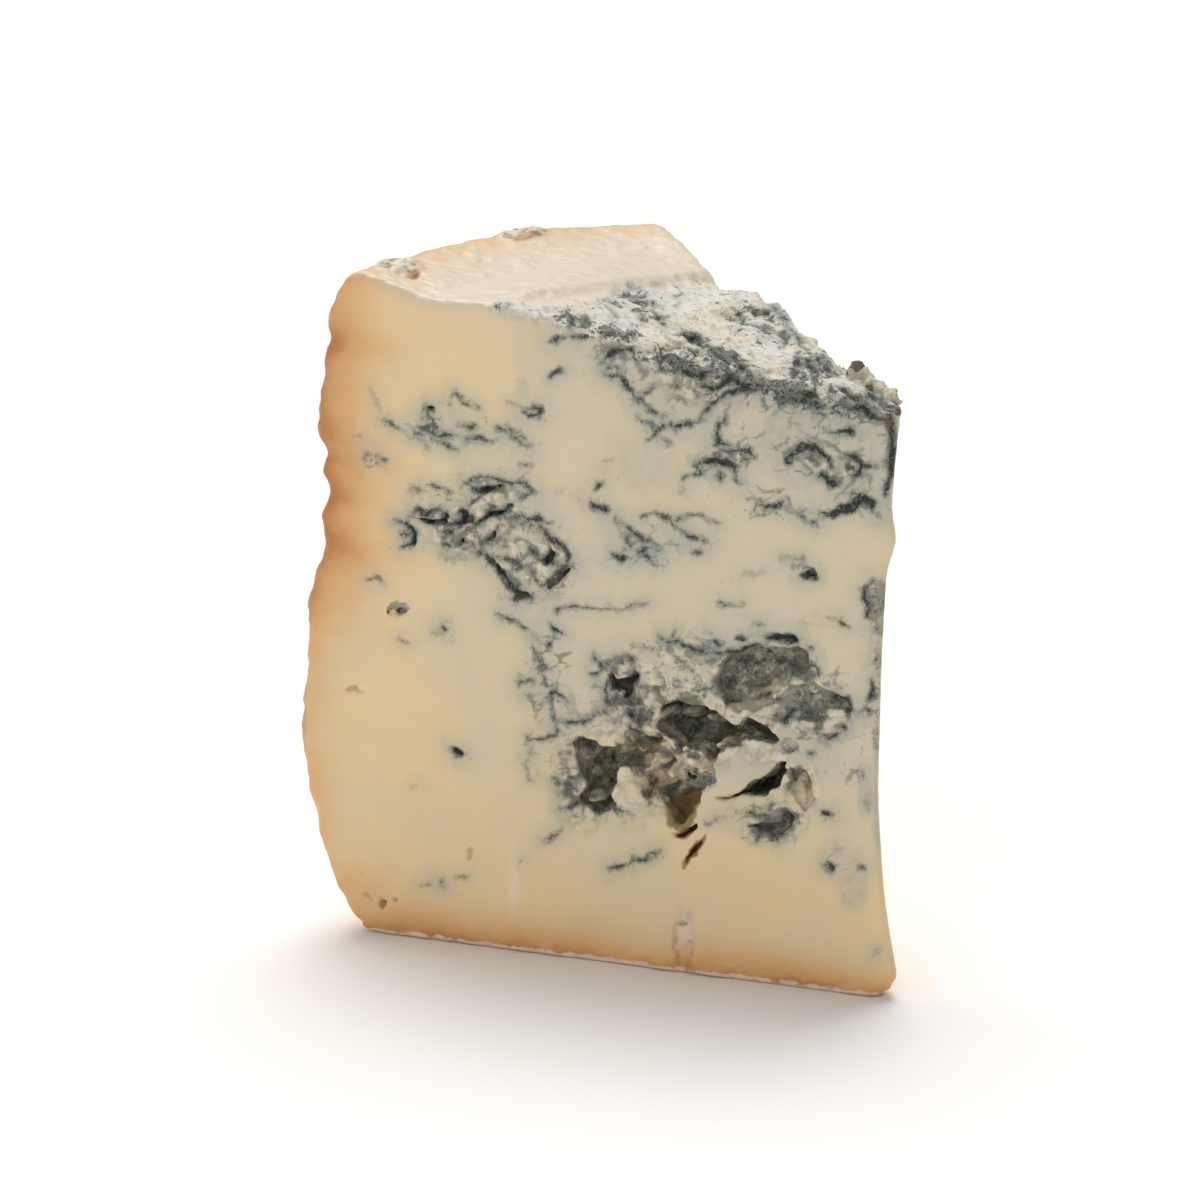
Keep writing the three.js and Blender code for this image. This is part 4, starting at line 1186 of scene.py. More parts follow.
def crack_depth(points, torn):
    """Grooves along the drawn cracks of the torn top."""
    torn_here = np.flatnonzero(torn > 0.05)
    inside, ink, _ = drawn_lines(points[torn_here, :2], TOP_VEINS)
    depth = np.zeros(len(points), dtype=np.float32)
    depth[torn_here] = torn[torn_here] * ink * TOP_GROOVE * smooth_step(-0.3, 0.4, inside)
    return depth


def scab_rise(points, on_top):
    """How high the crusty scabs stand over the top."""
    scab = on_top * patches(points[:, :2], TOP_SCABS)
    near = np.flatnonzero(scab > 0.02)
    rise = np.zeros(len(points), dtype=np.float32)
    rise[near] = scab[near] * (1.5 * crumbly(points[near]) - 0.15)
    return rise


def relief(points, faces):
    """What the faces' own texture adds to the distance: positive pulls the surface in."""
    on_top = smooth_step(-2.0, -0.4, faces["top"])
    on_rind = smooth_step(-1.5, -0.3, faces["rind"]) * (1.0 - on_top)
    torn = torn_cover(points, faces)
    z = points[:, 2]
    total = bumps(points, WAVES) + bumps(points, FOOT_FLAKES) * bell(z - 0.8, 1.2)
    total += torn * torn_folds(points) + on_top * (1.0 - torn) * bumps(points, SMOOTH_TOP)
    total += on_rind * bumps(points, RIND_WAVES) + crag_depth(points, faces)
    total += crack_depth(points, torn) - scab_rise(points, on_top)
    return total * smooth_step(0.0, 0.8, z)


def hollow_space(points):
    """How far inside the empty space of the front hollows each point lies."""
    depth = points[:, 1]
    drift = smooth_step(0.5, 4.0, depth)[:, None]
    bent = warped(points, 0.9, 3.4)
    places = front_places(points) + drift * (bent - points)[:, (0, 2)]
    empty = np.full(len(points), -2.0, dtype=np.float32)
    for full_depth, rim, *flat in OPEN_HOLLOWS:
        outline = np.reshape(flat, (-1, 2)).astype(np.float32)
        within = (places > outline.min(axis=0) - 1.5) & (places < outline.max(axis=0) + 1.5)
        near = np.flatnonzero(within.all(axis=1))
        inside = inside_outline(places[near], outline)
        hole = np.minimum(inside, 0.7 * (bowl(inside, full_depth, rim) - depth[near]))
        empty[near] = np.maximum(empty[near], hole)
    for x, z, half_length, half_height, full_depth, tilt in PITS:
        reach = oval_reach(places, x, z, half_length, half_height, tilt)
        inside = (1.0 - reach) * min(half_length, half_height)
        hole = np.minimum(inside, 0.7 * (bowl(inside, full_depth, 0.6) - depth))
        empty = np.maximum(empty, hole)
    near = np.flatnonzero(empty > -1.2)
    lumpy = 0.4 + 0.6 * smooth_step(-0.2, 1.5, depth[near])
    empty[near] -= HOLLOW_CRUMBS * (crumbly(points[near]) - 0.62) * lumpy
    near = np.flatnonzero(empty > -1.0)
    shapes = [front_curd(row) for row in FRONT_CURDS]
    curds = balls_distance(warped(points[near], 0.45, 1.5), shapes)
    empty[near] = -smooth_max(-empty[near], -curds, 0.35)
    return empty


def groove_space(points):
    """How far inside the shallow grooves and cracks along the drawn veins each point lies."""
    inside, ink, _ = drawn_lines(front_places(points), FRONT_VEINS, reach=1.5)
    inside = inside - GROOVE_INSET
    full_depth = GROOVE_DEPTH * ink + CRACK_DEPTH * smooth_step(0.88, 0.97, ink)
    full_depth = full_depth * (1.0 - smooth_step(*GROOVE_END_X, points[:, 0]))
    return np.minimum(inside, bowl(inside, full_depth, 0.35) - points[:, 1])


# ---- The sampled field -----------------------------------------------------------------------


class Field:
    """Distances on a grid of planes along x, y and z."""

    def __init__(self):
        low_x = -BELLY_BULGE - MARGIN
        high_x = TIP_MIDDLE[0] + float(tip_reach(np.float64(0.0))) + 4.0 * MARGIN
        high_y = (WHEEL_RADIUS + BELLY_BULGE) * math.sin(WEDGE_ANGLE) + MARGIN
        self.x = np.arange(low_x, high_x, STEP, dtype=np.float32)
        fine = np.arange(-MARGIN, FINE_DEPTH, STEP)
        coarse = np.arange(fine[-1] + STEP * COARSE_FACTOR, high_y, STEP * COARSE_FACTOR)
        self.y = np.concatenate([fine, coarse]).astype(np.float32)
        self.z = np.arange(-MARGIN, RIM_HEIGHT + 4.0, STEP, dtype=np.float32)
        self.values = np.empty((len(self.x), len(self.y), len(self.z)), dtype=np.float32)

    def points(self, rows, columns, layers):
        grid = np.meshgrid(self.x[rows], self.y[columns], self.z[layers], indexing="ij")
        return np.stack([axis.ravel() for axis in grid], axis=1), grid[0].shape

    def fill_block(self):
        everything = slice(None)
        for column in range(len(self.y)):
            points, shape = self.points(everything, slice(column, column + 1), everything)
            faces = face_distances(points)
            distance = block_distance(points, faces)
            near = np.abs(distance) < BAND
            near_faces = {name: value[near] for name, value in faces.items()}
            distance[near] += relief(points[near], near_faces)
            self.values[:, column : column + 1, :] = distance.reshape(shape)

    def window(self, shapes, margin):
        """The part of the grid round some balls."""
        reach = [np.hypot(shape["half"][0], shape["half"][2]) for shape in shapes]
        reach = [max(r, shape["half"][1]) + margin for r, shape in zip(reach, shapes)]
        low = np.min([np.subtract(s["centre"], r) for s, r in zip(shapes, reach)], axis=0)
        high = np.max([np.add(s["centre"], r) for s, r in zip(shapes, reach)], axis=0)
        axes = (self.x, self.y, self.z)
        return tuple(
            slice(*np.searchsorted(axis, (low[i], high[i]))) for i, axis in enumerate(axes)
        )

    def carve_front(self):
        (low_x, high_x), deepest, (low_z, high_z) = HOLLOW_REACH
        rows = slice(*np.searchsorted(self.x, (low_x, high_x)))
        layers = slice(*np.searchsorted(self.z, (low_z, high_z)))
        for column in range(np.searchsorted(self.y, deepest)):
            where = (rows, slice(column, column + 1), layers)
            points, shape = self.points(*where)
            space = hollow_space(points)
            if self.y[column] < 2.0 * CRACK_DEPTH:
                space = np.maximum(space, groove_space(points))
            self.values[where] = smooth_max(self.values[where], space.reshape(shape), 0.2)

    def carve(self, pockets, rough=1.0):
        where = self.window(pockets, 2.0)
        points, shape = self.points(*where)
        bent = warped(warped(points, 0.9 * rough, 3.4), 0.35 * rough, 1.2)
        hollow = balls_distance(bent, pockets)
        hollow += rough * HOLLOW_CRUMBS * (crumbly(points) - 0.3)
        before = self.values[where]
        self.values[where] = smooth_max(before, -hollow.reshape(shape), 0.3)

    def add(self, lumps):
        where = self.window(lumps, 2.0)
        points, shape = self.points(*where)
        lump = balls_distance(warped(points, 0.55, 1.1), lumps, 0.2)
        lump += 1.2 * (1.0 - crumbly(points)) + 0.3 * noise(points, 0.8, SEED + 61) - 0.6
        before = self.values[where]
        self.values[where] = -smooth_max(-before, -lump.reshape(shape), 0.35)

    def mesh(self):
        """Points in wheel axes and four-cornered faces of the zero surface."""
        limit = 3.0 * STEP
        grid = openvdb.FloatGrid(limit)
        grid.copyFromArray(np.clip(self.values, -limit, limit))
        points, quads = grid.convertToQuads(0.0)
        axes = (self.x, self.y, self.z)
        placed = [np.interp(points[:, i], np.arange(len(axes[i])), axes[i]) for i in range(3)]
        return np.stack(placed, axis=1).astype(np.float32), quads


def largest_part(points, quads):
    """The mesh without any loose crumb: only the largest group of joined faces stays."""
    group = np.arange(len(points))
    while True:
        joined = group.copy()
        lowest = group[quads].min(axis=1)
        for corner in quads.T:
            np.minimum.at(joined, corner, lowest)
        joined = joined[joined]
        if np.array_equal(joined, group):
            break
        group = joined
    kept = group == np.bincount(group).argmax()
    new_index = np.cumsum(kept) - 1
    return points[kept], new_index[quads[kept[quads[:, 0]]]]


def cheese_field():
    field = Field()
    field.fill_block()
    field.carve_front()
    for row in BACK_POCKETS:
        field.carve([back_pocket(row)])
    for row in TOP_DIMPLES:
        field.carve([top_dimple(row)], rough=0.5)
    field.add([top_lump(row) for row in TIP_CRUMBS])
    return field


# ---- What grows where: one number for each vertex --------------------------------------------

FAR_TIP_X = (78.5, 80.5)  # the far corner of the tip sets in between these
FAR_TIP_Y = (1.4, 3.4)
HIDDEN = 4.0  # a drawn line sinks this deep where its face doesn't show


class Surface:
    """Where every vertex lies: on which face, how deep, and at which place of the cut."""

    def __init__(self, points):
        self.points = points
        self.plan = points[:, :2]
        self.x, self.y, self.z = points.T
        self.faces = face_distances(points)
        self.from_rind = -self.faces["rind"]
        self.from_cut = -np.maximum(self.faces["front"], self.faces["back"])
        self.on_top = smooth_step(-1.6, -0.5, self.faces["top"])
        self.above_top = smooth_step(-0.4, 0.3, self.faces["top"])
        self.torn = torn_cover(points, self.faces)
        self.hollow = smooth_step(0.35, 1.1, -block_distance(points, self.faces))
        self.places, self.drawn = cut_places(points, self.faces)
        deepest = HOLLOW_REACH[1]
        in_front = 1.0 - smooth_step(deepest - 1.0, deepest + 1.0, self.y)
        self.in_cave = np.maximum(self.drawn, self.hollow * in_front)
        self.far_tip = smooth_step(*FAR_TIP_X, self.x) * smooth_step(*FAR_TIP_Y, self.y)
        self.bare = patches(self.places, BARE_CURDS) * self.in_cave


def vein_growth(on):
    """The drawn veins, the shade round them and the fine seams where they crowd."""
    inside, ink, halo = drawn_lines(on.places, FRONT_VEINS)
    top_inside, top_ink, top_halo = drawn_lines(on.plan, TOP_VEINS)
    up = on.on_top > 0.5
    on_torn = top_inside - HIDDEN * (1.0 - on.torn)
    on_cut = inside - HIDDEN * (1.0 - on.drawn)
    beside_top = 1.0 - 0.7 * on.on_top
    shade = np.maximum(patches(on.places, SHADE_PATCHES), halo) * on.drawn * beside_top
    shade = np.maximum(shade, 0.8 * top_halo * on.torn)
    crowd = np.maximum(0.62 * patches(on.places, CROWDED_ZONES), 0.4 * halo) * on.drawn
    shade = np.maximum(shade, 0.5 * crowd * beside_top)
    broken = 0.24 * noise(on.points, 2.6, SEED + 88)
    seam = 0.27 * crowd - 0.10 + broken * crowd - curd_seams(on.points) - 0.2 * on.bare
    return {
        "vein": np.where(up, on_torn, on_cut),
        "ink": np.where(up, top_ink, ink),
        "shade": shade * (1.0 - on.far_tip),
        "seam": np.clip(seam, -1.0, 1.0),
    }


def mould_growth(on):
    """The grey coat and crumbs of the hollows, and the pale lines of the needles."""
    channel = patches(on.places, PIERCED_CHANNELS) * on.drawn
    craggy = patches(on.places, CRAGGY_ZONES) * on.drawn * (1.0 - channel)
    craggy = np.maximum(craggy, 0.5 * on.hollow) * (1.0 - 0.6 * on.bare)
    mottle = layered_noise(on.points, 1.7, SEED + 91, layers=3)
    coat = patches(on.places, MOULD_PATCHES) * on.drawn * (1.0 - on.far_tip)
    coat = np.maximum(coat, on.hollow * (0.95 + 0.2 * mottle))
    coat = coat * (1.0 - on.bare * (0.85 + 0.5 * mottle))
    return {
        "coat": np.clip(coat, 0.0, 1.0),
        "craggy": craggy,
        "crumb": crumbly(on.points),
        "hollow": on.hollow,
        "pale": channel,
    }


def brown_growth(on):
    """Brown marks and stains, mostly dry paste, with painted shadow beside the scabs on the top and
    under the lips of a few hollows.
    """
    inside, ink, _ = drawn_lines(on.places, BROWN_MARKS)
    on_front = 1.0 * (on.faces["front"] > on.faces["back"])
    cave_stain_and_shadow = patches(on.places, BROWN_STAINS_AND_SHADOWS) * on.in_cave * on_front
    return {
        "brown": np.clip(inside + 0.1, -1.0, 1.0),
        "brown_ink": ink * on.drawn,
        "stain_and_shadow": np.maximum(cave_stain_and_shadow, patches(on.plan, TOP_STAINS_AND_SCAB_SHADOWS) * on.on_top),
    }


def top_growth(on):
    """The torn top's strands and mould, the smooth part, the scabs and the tip's crumbs."""
    bent = warped(along_grain(on.points), 1.4, 3.5)
    strand = np.abs(layered_noise(bent, (6.0, 1.8, 1.4), SEED + 93, layers=3))
    plan = on.plan + 0.8 * noise(on.points, 2.5, SEED + 94)[:, None]
    crowded = patches(plan, TOP_MOULD)
    reach = 0.10 + 0.30 * crowded
    strands = on.torn * (1.0 - smooth_step(0.25 * reach, reach, strand)) * (0.6 + 0.4 * crowded)
    gaps = [np.hypot(on.x - x, on.y - y) for x, y, _, _ in TIP_CRUMBS]
    lump = sum(bell(gap, 1.2 * radius) for gap, (_, _, _, radius) in zip(gaps, TIP_CRUMBS))
    dark_crumb = 1.0 - smooth_step(0.7, 1.0, gaps[0] / DARK_CRUMB)
    smooth_top = 1.0 - torn_share(on.points)
    return {
        "strands": strands,
        "mouldy": crowded * on.torn,
        "torn": on.torn,
        "plateau": smooth_step(-2.6, -0.2, on.faces["top"]) * smooth_top,
        "scab": patches(on.plan, TOP_SCABS) * on.on_top,
        "lump": np.minimum(1.5 * lump, 1.0) * on.above_top,
        "dark_crumb": dark_crumb * on.above_top,
    }


def crust_growth(on):
    """Warmth that fades away from the rind and the foot."""
    notch = sum(bell(on.z - height, 3.0) for height, _, _ in RIND_GROOVES)
    warmth = 0.40 + 0.5 * smooth_step(38.0, 54.0, on.z) + 0.25 * np.minimum(notch, 1.0)
    reach = 5.4 + 1.2 * smooth_step(38.0, 56.0, on.z) + 1.2 * noise(on.points, 7.0, SEED + 97)
    foot_reach = 3.2 + 0.9 * noise(on.points, 11.0, SEED + 98)
    foot_corner = bell(np.hypot(on.x + 1.0, on.z - 2.0), 10.0)
    crust = warmth * np.exp(-np.maximum(on.from_rind, 0.0) / reach)
    crust = np.maximum(crust, 0.95 * np.exp(-np.maximum(on.z, 0.0) / foot_reach))
    crust = np.maximum(crust, 0.5 * foot_corner)
    high = smooth_step(86.0, 94.0, on.z) * (1.0 - on.on_top)
    return crust * (1.0 - 0.55 * on.on_top) * (1.0 - 0.4 * high)


def rind_growth(on):
    """The crust, the rind's skin, the flaky foot and the paste's cooler middle."""
    skin = 1.0 - smooth_step(0.15, 0.7, on.from_rind - smooth_step(1.0, 3.0, on.from_cut))
    underside = 1.0 - smooth_step(0.05, 0.5, on.z)
    cool = smooth_step(12.0, 45.0, on.from_rind) * smooth_step(8.0, 40.0, on.z)
    return {
        "crust": crust_growth(on),
        "skin": np.maximum(skin, underside),
        "foot": bell(np.maximum(on.z - 0.4, 0.0), 0.9),
        "cool": np.clip(0.25 + 0.75 * cool, 0.0, 1.0),
    }


def growth(points):
    """Every number that the material reads, one array for each name."""
    on = Surface(points)
    kinds = (vein_growth, mould_growth, brown_growth, top_growth, rind_growth)
    return {name: values for kind in kinds for name, values in kind(on).items()}


# ---- Shader building blocks ------------------------------------------------------------------


def srgb(red, green, blue):
    """A colour given as 0 to 255 screen values, as linear light."""
    parts = [value / 255.0 for value in (red, green, blue)]
    linear = [v / 12.92 if v <= 0.04045 else ((v + 0.055) / 1.055) ** 2.4 for v in parts]
    return (*linear, 1.0)


class Shader:
    """A node tree with one short method for each kind of node that the scene needs."""

    def __init__(self, name):
        self.material = bpy.data.materials.new(name)
        self.material.use_nodes = True
        self.tree = self.material.node_tree
        self.tree.nodes.clear()
        self.place = self.tree.nodes.new("ShaderNodeTexCoord").outputs["Object"]

    def node(self, kind, inputs, **settings):
        node = self.tree.nodes.new(kind)
        for name, value in settings.items():
            setattr(node, name, value)
        for socket, value in inputs.items():
            if isinstance(value, bpy.types.NodeSocket):
                self.tree.links.new(value, node.inputs[socket])
            else:
                node.inputs[socket].default_value = value
        return node

    def value(self, name):
        """One of the numbers stored on the vertices."""
        return self.node("ShaderNodeAttribute", {}, attribute_name=name).outputs["Fac"]

    def noise(self, size, detail, roughness=0.5, stretch=(1, 1, 1), twist=0.0, turn=0.0):
        """Noise of a size in millimetres, squeezed by `stretch` and turned in degrees."""
        inputs = {"Vector": self.place, "Angle": math.radians(turn)}
        turned = self.node("ShaderNodeVectorRotate", inputs, rotation_type="Z_AXIS")
        inputs = {0: turned.outputs[0], 1: stretch}
        scaled = self.node("ShaderNodeVectorMath", inputs, operation="MULTIPLY")
        inputs = {
            "Vector": scaled.outputs[0],
            "Scale": 1.0 / (size * MM),
            "Detail": detail,
            "Roughness": roughness,
            "Distortion": twist,
        }
        return self.node("ShaderNodeTexNoise", inputs).outputs["Fac"]

    def math(self, operation, first, second=0.0, third=0.0, clamp=False):
        inputs = {0: first, 1: second, 2: third}
        return self.node("ShaderNodeMath", inputs, operation=operation, use_clamp=clamp).outputs[0]

    def roughened(self, value, noise, amount):
        """A value plus noise that swings by the amount, half of it each way."""
        return self.math("ADD", value, self.math("MULTIPLY_ADD", noise, amount, -0.5 * amount))

    def ramp(self, value, low, high, to_low=0.0, to_high=1.0):
        """A value's range from `low` to `high` as another range, with smooth ends."""
        inputs = {0: value, 1: low, 2: high, 3: to_low, 4: to_high}
        return self.node("ShaderNodeMapRange", inputs, interpolation_type="SMOOTHSTEP").outputs[0]

    def mix(self, share, first, second):
        node = self.node("ShaderNodeMix", {0: share, 6: first, 7: second}, data_type="RGBA")
        return node.outputs[2]

    def blend(self, share, first, second):
        inputs = {0: share, 2: first, 3: second}
        return self.node("ShaderNodeMix", inputs, data_type="FLOAT").outputs[0]

    def finished(self, inputs, **settings):
        """The material, with these inputs of its one surface shader."""
        shader = self.node("ShaderNodeBsdfPrincipled", inputs, **settings)
        self.node("ShaderNodeOutputMaterial", {"Surface": shader.outputs[0]})
        return self.material


# ---- The cheese material ---------------------------------------------------------------------

CREAM_COOL = srgb(215, 203, 175)
CREAM_WARM = srgb(232, 207, 160)
TOP_CREAM = srgb(218, 204, 180)
TORN_WHITE = srgb(214, 211, 203)
RIND_PALE = srgb(222, 178, 122)
RIND_ORANGE = srgb(190, 128, 76)
RIND_SKIN = srgb(206, 168, 126)
RIND_BLOOM = srgb(222, 198, 164)
BLUE_SHADE = srgb(174, 176, 164)
COAT_PALE_AND_LIT = srgb(186, 180, 162)
COAT_GREY = srgb(150, 149, 136)
COAT_DARK = srgb(82, 84, 76)
COAT_BROWN = srgb(142, 131, 108)
CREASE_MOULD_AND_SHADE = srgb(84, 88, 80)
SCAB_PALE = srgb(214, 203, 180)
SCAB_DARK = srgb(150, 134, 106)
FOOT_PALE = srgb(240, 220, 204)
TORN_GREY = srgb(146, 147, 140)
TORN_CREAM = srgb(218, 208, 188)
CRUMB_BEIGE = srgb(206, 196, 172)
CRUMB_DARK = srgb(84, 70, 48)
# painted shadow colour, used on the shaded side of each scab on the top
SCAB_SHADOW_OCHRE = srgb(168, 122, 66)
VEIN_SOFT = srgb(112, 118, 111)
VEIN_DARK = srgb(38, 44, 41)
STRAND_DARK = srgb(70, 72, 64)
STRAND_GREY = srgb(138, 138, 129)
BROWN = srgb(122, 88, 50)
STAIN_AND_SHADOW_BROWN = srgb(130, 106, 66)
FLAKE_PALE = srgb(222, 212, 188)
CHANNEL_PALE = srgb(236, 218, 200)


GRAIN_TURN = -math.degrees(math.atan2(GRAIN_AXES[1], GRAIN_AXES[0]))


class CheeseShader(Shader):
    """The cheese's nodes, with the noises and the mask that several layers of colour share."""

    def __init__(self):
        super().__init__("cheese")
        self.grit = self.noise(0.5, 4.0, 0.75)
        self.fine = self.noise(0.7, 3.0, 0.6)
        self.coarse = self.noise(1.8, 3.0, 0.6)
        streak = self.noise(2.8, 3.0, 0.6, (0.5, 0.5, 1.4), 0.4)
        coat = self.roughened(self.value("coat"), self.grit, 1.0)
        self.coated = self.ramp(self.roughened(coat, streak, 1.2), 0.32, 0.62)


def paste_colour(s):
    clouds = s.ramp(s.noise(14.0, 2.0), 0.35, 0.65, -0.2, 0.2)
    cool = s.math("ADD", s.value("cool"), clouds, clamp=True)
    colour = s.mix(cool, CREAM_WARM, CREAM_COOL)
    colour = s.mix(s.value("plateau"), colour, TOP_CREAM)
    fibres = s.noise(1.0, 4.0, 0.65, (0.32, 1.3, 1.2), 0.6, GRAIN_TURN)
    torn_tone = s.mix(s.ramp(s.noise(8.0, 2.0), 0.45, 0.6), TORN_WHITE, TORN_CREAM)
    torn_tone = s.mix(s.ramp(fibres, 0.46, 0.68, 0.0, 0.75), torn_tone, TORN_GREY)
    colour = s.mix(s.math("MULTIPLY", s.value("torn"), 0.92), colour, torn_tone)
    crumb_tone = s.mix(s.ramp(s.grit, 0.36, 0.52), COAT_BROWN, CRUMB_BEIGE)
    colour = s.mix(s.ramp(s.value("lump"), 0.3, 0.6), colour, crumb_tone)
    return s.mix(s.value("pale"), colour, CHANNEL_PALE)


def crust_colour(s, colour):
    """The warm crust, and the rind's skin with its pale bloom."""
    patchy = s.ramp(s.noise(5.0, 3.0), 0.2, 0.8, 0.8, 1.2)
    amount = s.math("MULTIPLY", s.value("crust"), patchy, clamp=True)
    colour = s.mix(s.ramp(amount, 0.02, 0.5), colour, RIND_PALE)
    colour = s.mix(s.ramp(amount, 0.35, 1.0), colour, RIND_ORANGE)
    bloom = s.ramp(s.noise(6.0, 4.0, 0.65), 0.50, 0.66, 0.0, 0.6)
    skin_tone = s.mix(bloom, RIND_SKIN, RIND_BLOOM)
    return s.mix(s.math("MULTIPLY", s.value("skin"), 0.6), colour, skin_tone)


def trim_colour(s, colour):
    """The scabs near the rim and the pale flaky line along the foot."""
    rough = s.noise(1.1, 3.0, 0.7)
    crumb = s.roughened(s.value("crumb"), rough, 0.8)
    scab_tone = s.mix(s.ramp(crumb, 0.30, 0.55), SCAB_DARK, SCAB_PALE)
    scab = s.ramp(s.roughened(s.value("scab"), rough, 0.5), 0.15, 0.4)
    colour = s.mix(scab, colour, scab_tone)
    flakes = s.noise(1.6, 3.0, 0.6, (1.0, 1.0, 2.0))
    foot = s.ramp(s.roughened(s.value("foot"), flakes, 1.6), 0.62, 0.95, 0.0, 0.8)
    return s.mix(foot, colour, FOOT_PALE)


def shade_colour(s, colour):
    """Mould that shines through from below the surface, painted shade on the tip's facet, and the fine
    seams.
    """
    cloudy = s.ramp(s.coarse, 0.25, 0.75, 0.6, 1.15)
    shade = s.math("MULTIPLY", s.value("shade"), cloudy, clamp=True)
    colour = s.mix(shade, colour, BLUE_SHADE)
    seam = s.roughened(s.value("seam"), s.fine, 0.30)
    return s.mix(s.ramp(seam, -0.10, 0.06, 0.0, 0.75), colour, VEIN_SOFT)


def coat_colour(s, colour):
    """The grey coat, brownish deep in the hollows, and pale on the raised crumbs, partly bare curd and
    partly painted light.
    """
    patchy = s.ramp(s.noise(4.5, 2.0), 0.42, 0.62, 0.0, 0.6)
    warm = s.mix(s.math("MULTIPLY", patchy, s.value("hollow")), COAT_GREY, COAT_BROWN)
    tone = s.mix(s.ramp(s.roughened(s.coarse, s.grit, 1.3), 0.28, 0.54), COAT_DARK, warm)
    # partly painted light: the raised crumbs are made paler, as if lit
    high_crumb = s.roughened(s.value("crumb"), s.grit, 0.9)
    tone = s.mix(s.ramp(high_crumb, 0.55, 0.82, 0.0, 0.8), tone, COAT_PALE_AND_LIT)
    return s.mix(s.coated, colour, tone)


def hollow_colour(s, colour):
    """Pale flakes round the mouths of the hollows, dark creases of mould and painted shade, and brown
    stain with painted shadow beside the scabs and in a few hollows.
    """
    hollow = s.value("hollow")
    mouth = s.math("MULTIPLY", s.ramp(hollow, 0.02, 0.15), s.ramp(hollow, 0.45, 0.80, 1.0, 0.0))
    flaky = s.ramp(s.roughened(s.noise(1.5, 3.0, 0.6), s.grit, 0.6), 0.44, 0.54, 0.0, 0.85)
    colour = s.mix(s.math("MULTIPLY", mouth, flaky), colour, FLAKE_PALE)
    # partly painted shade: the creases between crumbs are darkened on top of their grey mould
    low_crumb = s.ramp(s.roughened(s.value("crumb"), s.fine, 0.25), 0.30, 0.52, 0.9, 0.0)
    colour = s.mix(s.math("MULTIPLY", low_crumb, s.value("craggy")), colour, CREASE_MOULD_AND_SHADE)
    # brown stain, partly painted shadow: ochre beside each scab on the top, brown under the lips of a
    # few hollows
    stain_and_shadow = s.ramp(s.roughened(s.value("stain_and_shadow"), s.coarse, 0.5), 0.25, 0.75, 0.0, 0.9)
    return s.mix(stain_and_shadow, colour, s.mix(s.value("plateau"), STAIN_AND_SHADOW_BROWN, SCAB_SHADOW_OCHRE))


def strand_colour(s, colour):
    """Grey strands and wrinkles of the torn top, left off its crumbs."""
    wrinkles = s.noise(1.3, 4.0, 0.7, (0.5, 1.2, 1.2), 1.6, GRAIN_TURN)
    mouldy = s.ramp(s.roughened(s.value("mouldy"), wrinkles, 3.4), 0.68, 0.98, 0.0, 0.9)
    strands = s.roughened(s.math("MAXIMUM", s.value("strands"), mouldy), s.grit, 1.2)
    strands = s.math("SUBTRACT", strands, s.value("lump"))
    tone = s.mix(s.ramp(s.noise(0.42, 3.0, 0.7), 0.40, 0.62), STRAND_DARK, STRAND_GREY)
    return s.mix(s.ramp(strands, 0.30, 0.66), colour, tone)


def vein_colour(s, colour):
    """Each vein's soft fringe and its dark core."""
    ink = s.value("ink")
    ragged = s.roughened(s.roughened(s.value("vein"), s.grit, 1.5), s.coarse, 1.2)
    fringe = s.math("MULTIPLY", s.ramp(ragged, -0.60, 0.18, 0.0, 0.9), ink)
    colour = s.mix(fringe, colour, VEIN_SOFT)
    core = s.math("MULTIPLY", s.ramp(ragged, 0.0, 0.28), s.ramp(ink, 0.2, 0.8, 0.1, 1.0))
    core_tone = s.mix(s.ramp(s.grit, 0.48, 0.66, 0.0, 0.6), VEIN_DARK, COAT_GREY)
    return s.mix(core, colour, core_tone)


def brown_colour(s, colour):
    """Brown marks, mostly dry and one a painted shadow under a lip, and the one dark crumb on the tip.
    """
    brown = s.roughened(s.value("brown"), s.fine, 0.8)
    amount = s.math("MULTIPLY", s.ramp(brown, -0.25, 0.25), s.value("brown_ink"))
    colour = s.mix(amount, colour, BROWN)
    dark_crumb = s.ramp(s.roughened(s.value("dark_crumb"), s.grit, 0.8), 0.3, 0.6, 0.0, 0.9)
    return s.mix(dark_crumb, colour, CRUMB_DARK)


COLOUR_LAYERS = (
    crust_colour,
    trim_colour,
    shade_colour,
    coat_colour,
    hollow_colour,
    strand_colour,
    vein_colour,
    brown_colour,
)


def cheese_material():
    s = CheeseShader()
    colour = paste_colour(s)
    for layer in COLOUR_LAYERS:
        colour = layer(s, colour)
    fine = s.noise(0.45, 3.0, 0.6)
    pits = s.noise(1.4, 2.0, 0.5)
    rough_parts = s.math("MAXIMUM", s.coated, s.value("torn"))
    rough_parts = s.math("MAXIMUM", rough_parts, s.value("skin"))
    height = s.math("MULTIPLY", fine, s.ramp(rough_parts, 0.0, 1.0, 0.10, 0.8))
    low_pits = s.math("MULTIPLY", pits, s.ramp(rough_parts, 0.0, 1.0, 0.15, 0.6))
    height = s.math("ADD", height, low_pits)
    bump = s.node("ShaderNodeBump", {"Height": height, "Strength": 0.5, "Distance": 0.3 * MM})
    inputs = {
        "Base Color": colour,
        "Roughness": s.blend(rough_parts, s.ramp(pits, 0.3, 0.7, 0.34, 0.46), 0.72),
        "Normal": bump.outputs[0],
        "IOR": 1.42,
        "Specular IOR Level": 0.35,
        "Subsurface Weight": 0.28,
        "Subsurface Radius": (1.0, 0.62, 0.34),
        "Subsurface Scale": 1.6 * MM,
    }
    return s.finished(inputs, subsurface_method="RANDOM_WALK")


# ---- Pieces ----------------------------------------------------------------------------------


def placed(name, data):
    """A new object that is part of the scene."""
    holder = bpy.data.objects.new(name, data)
    bpy.context.scene.collection.objects.link(holder)
    return holder


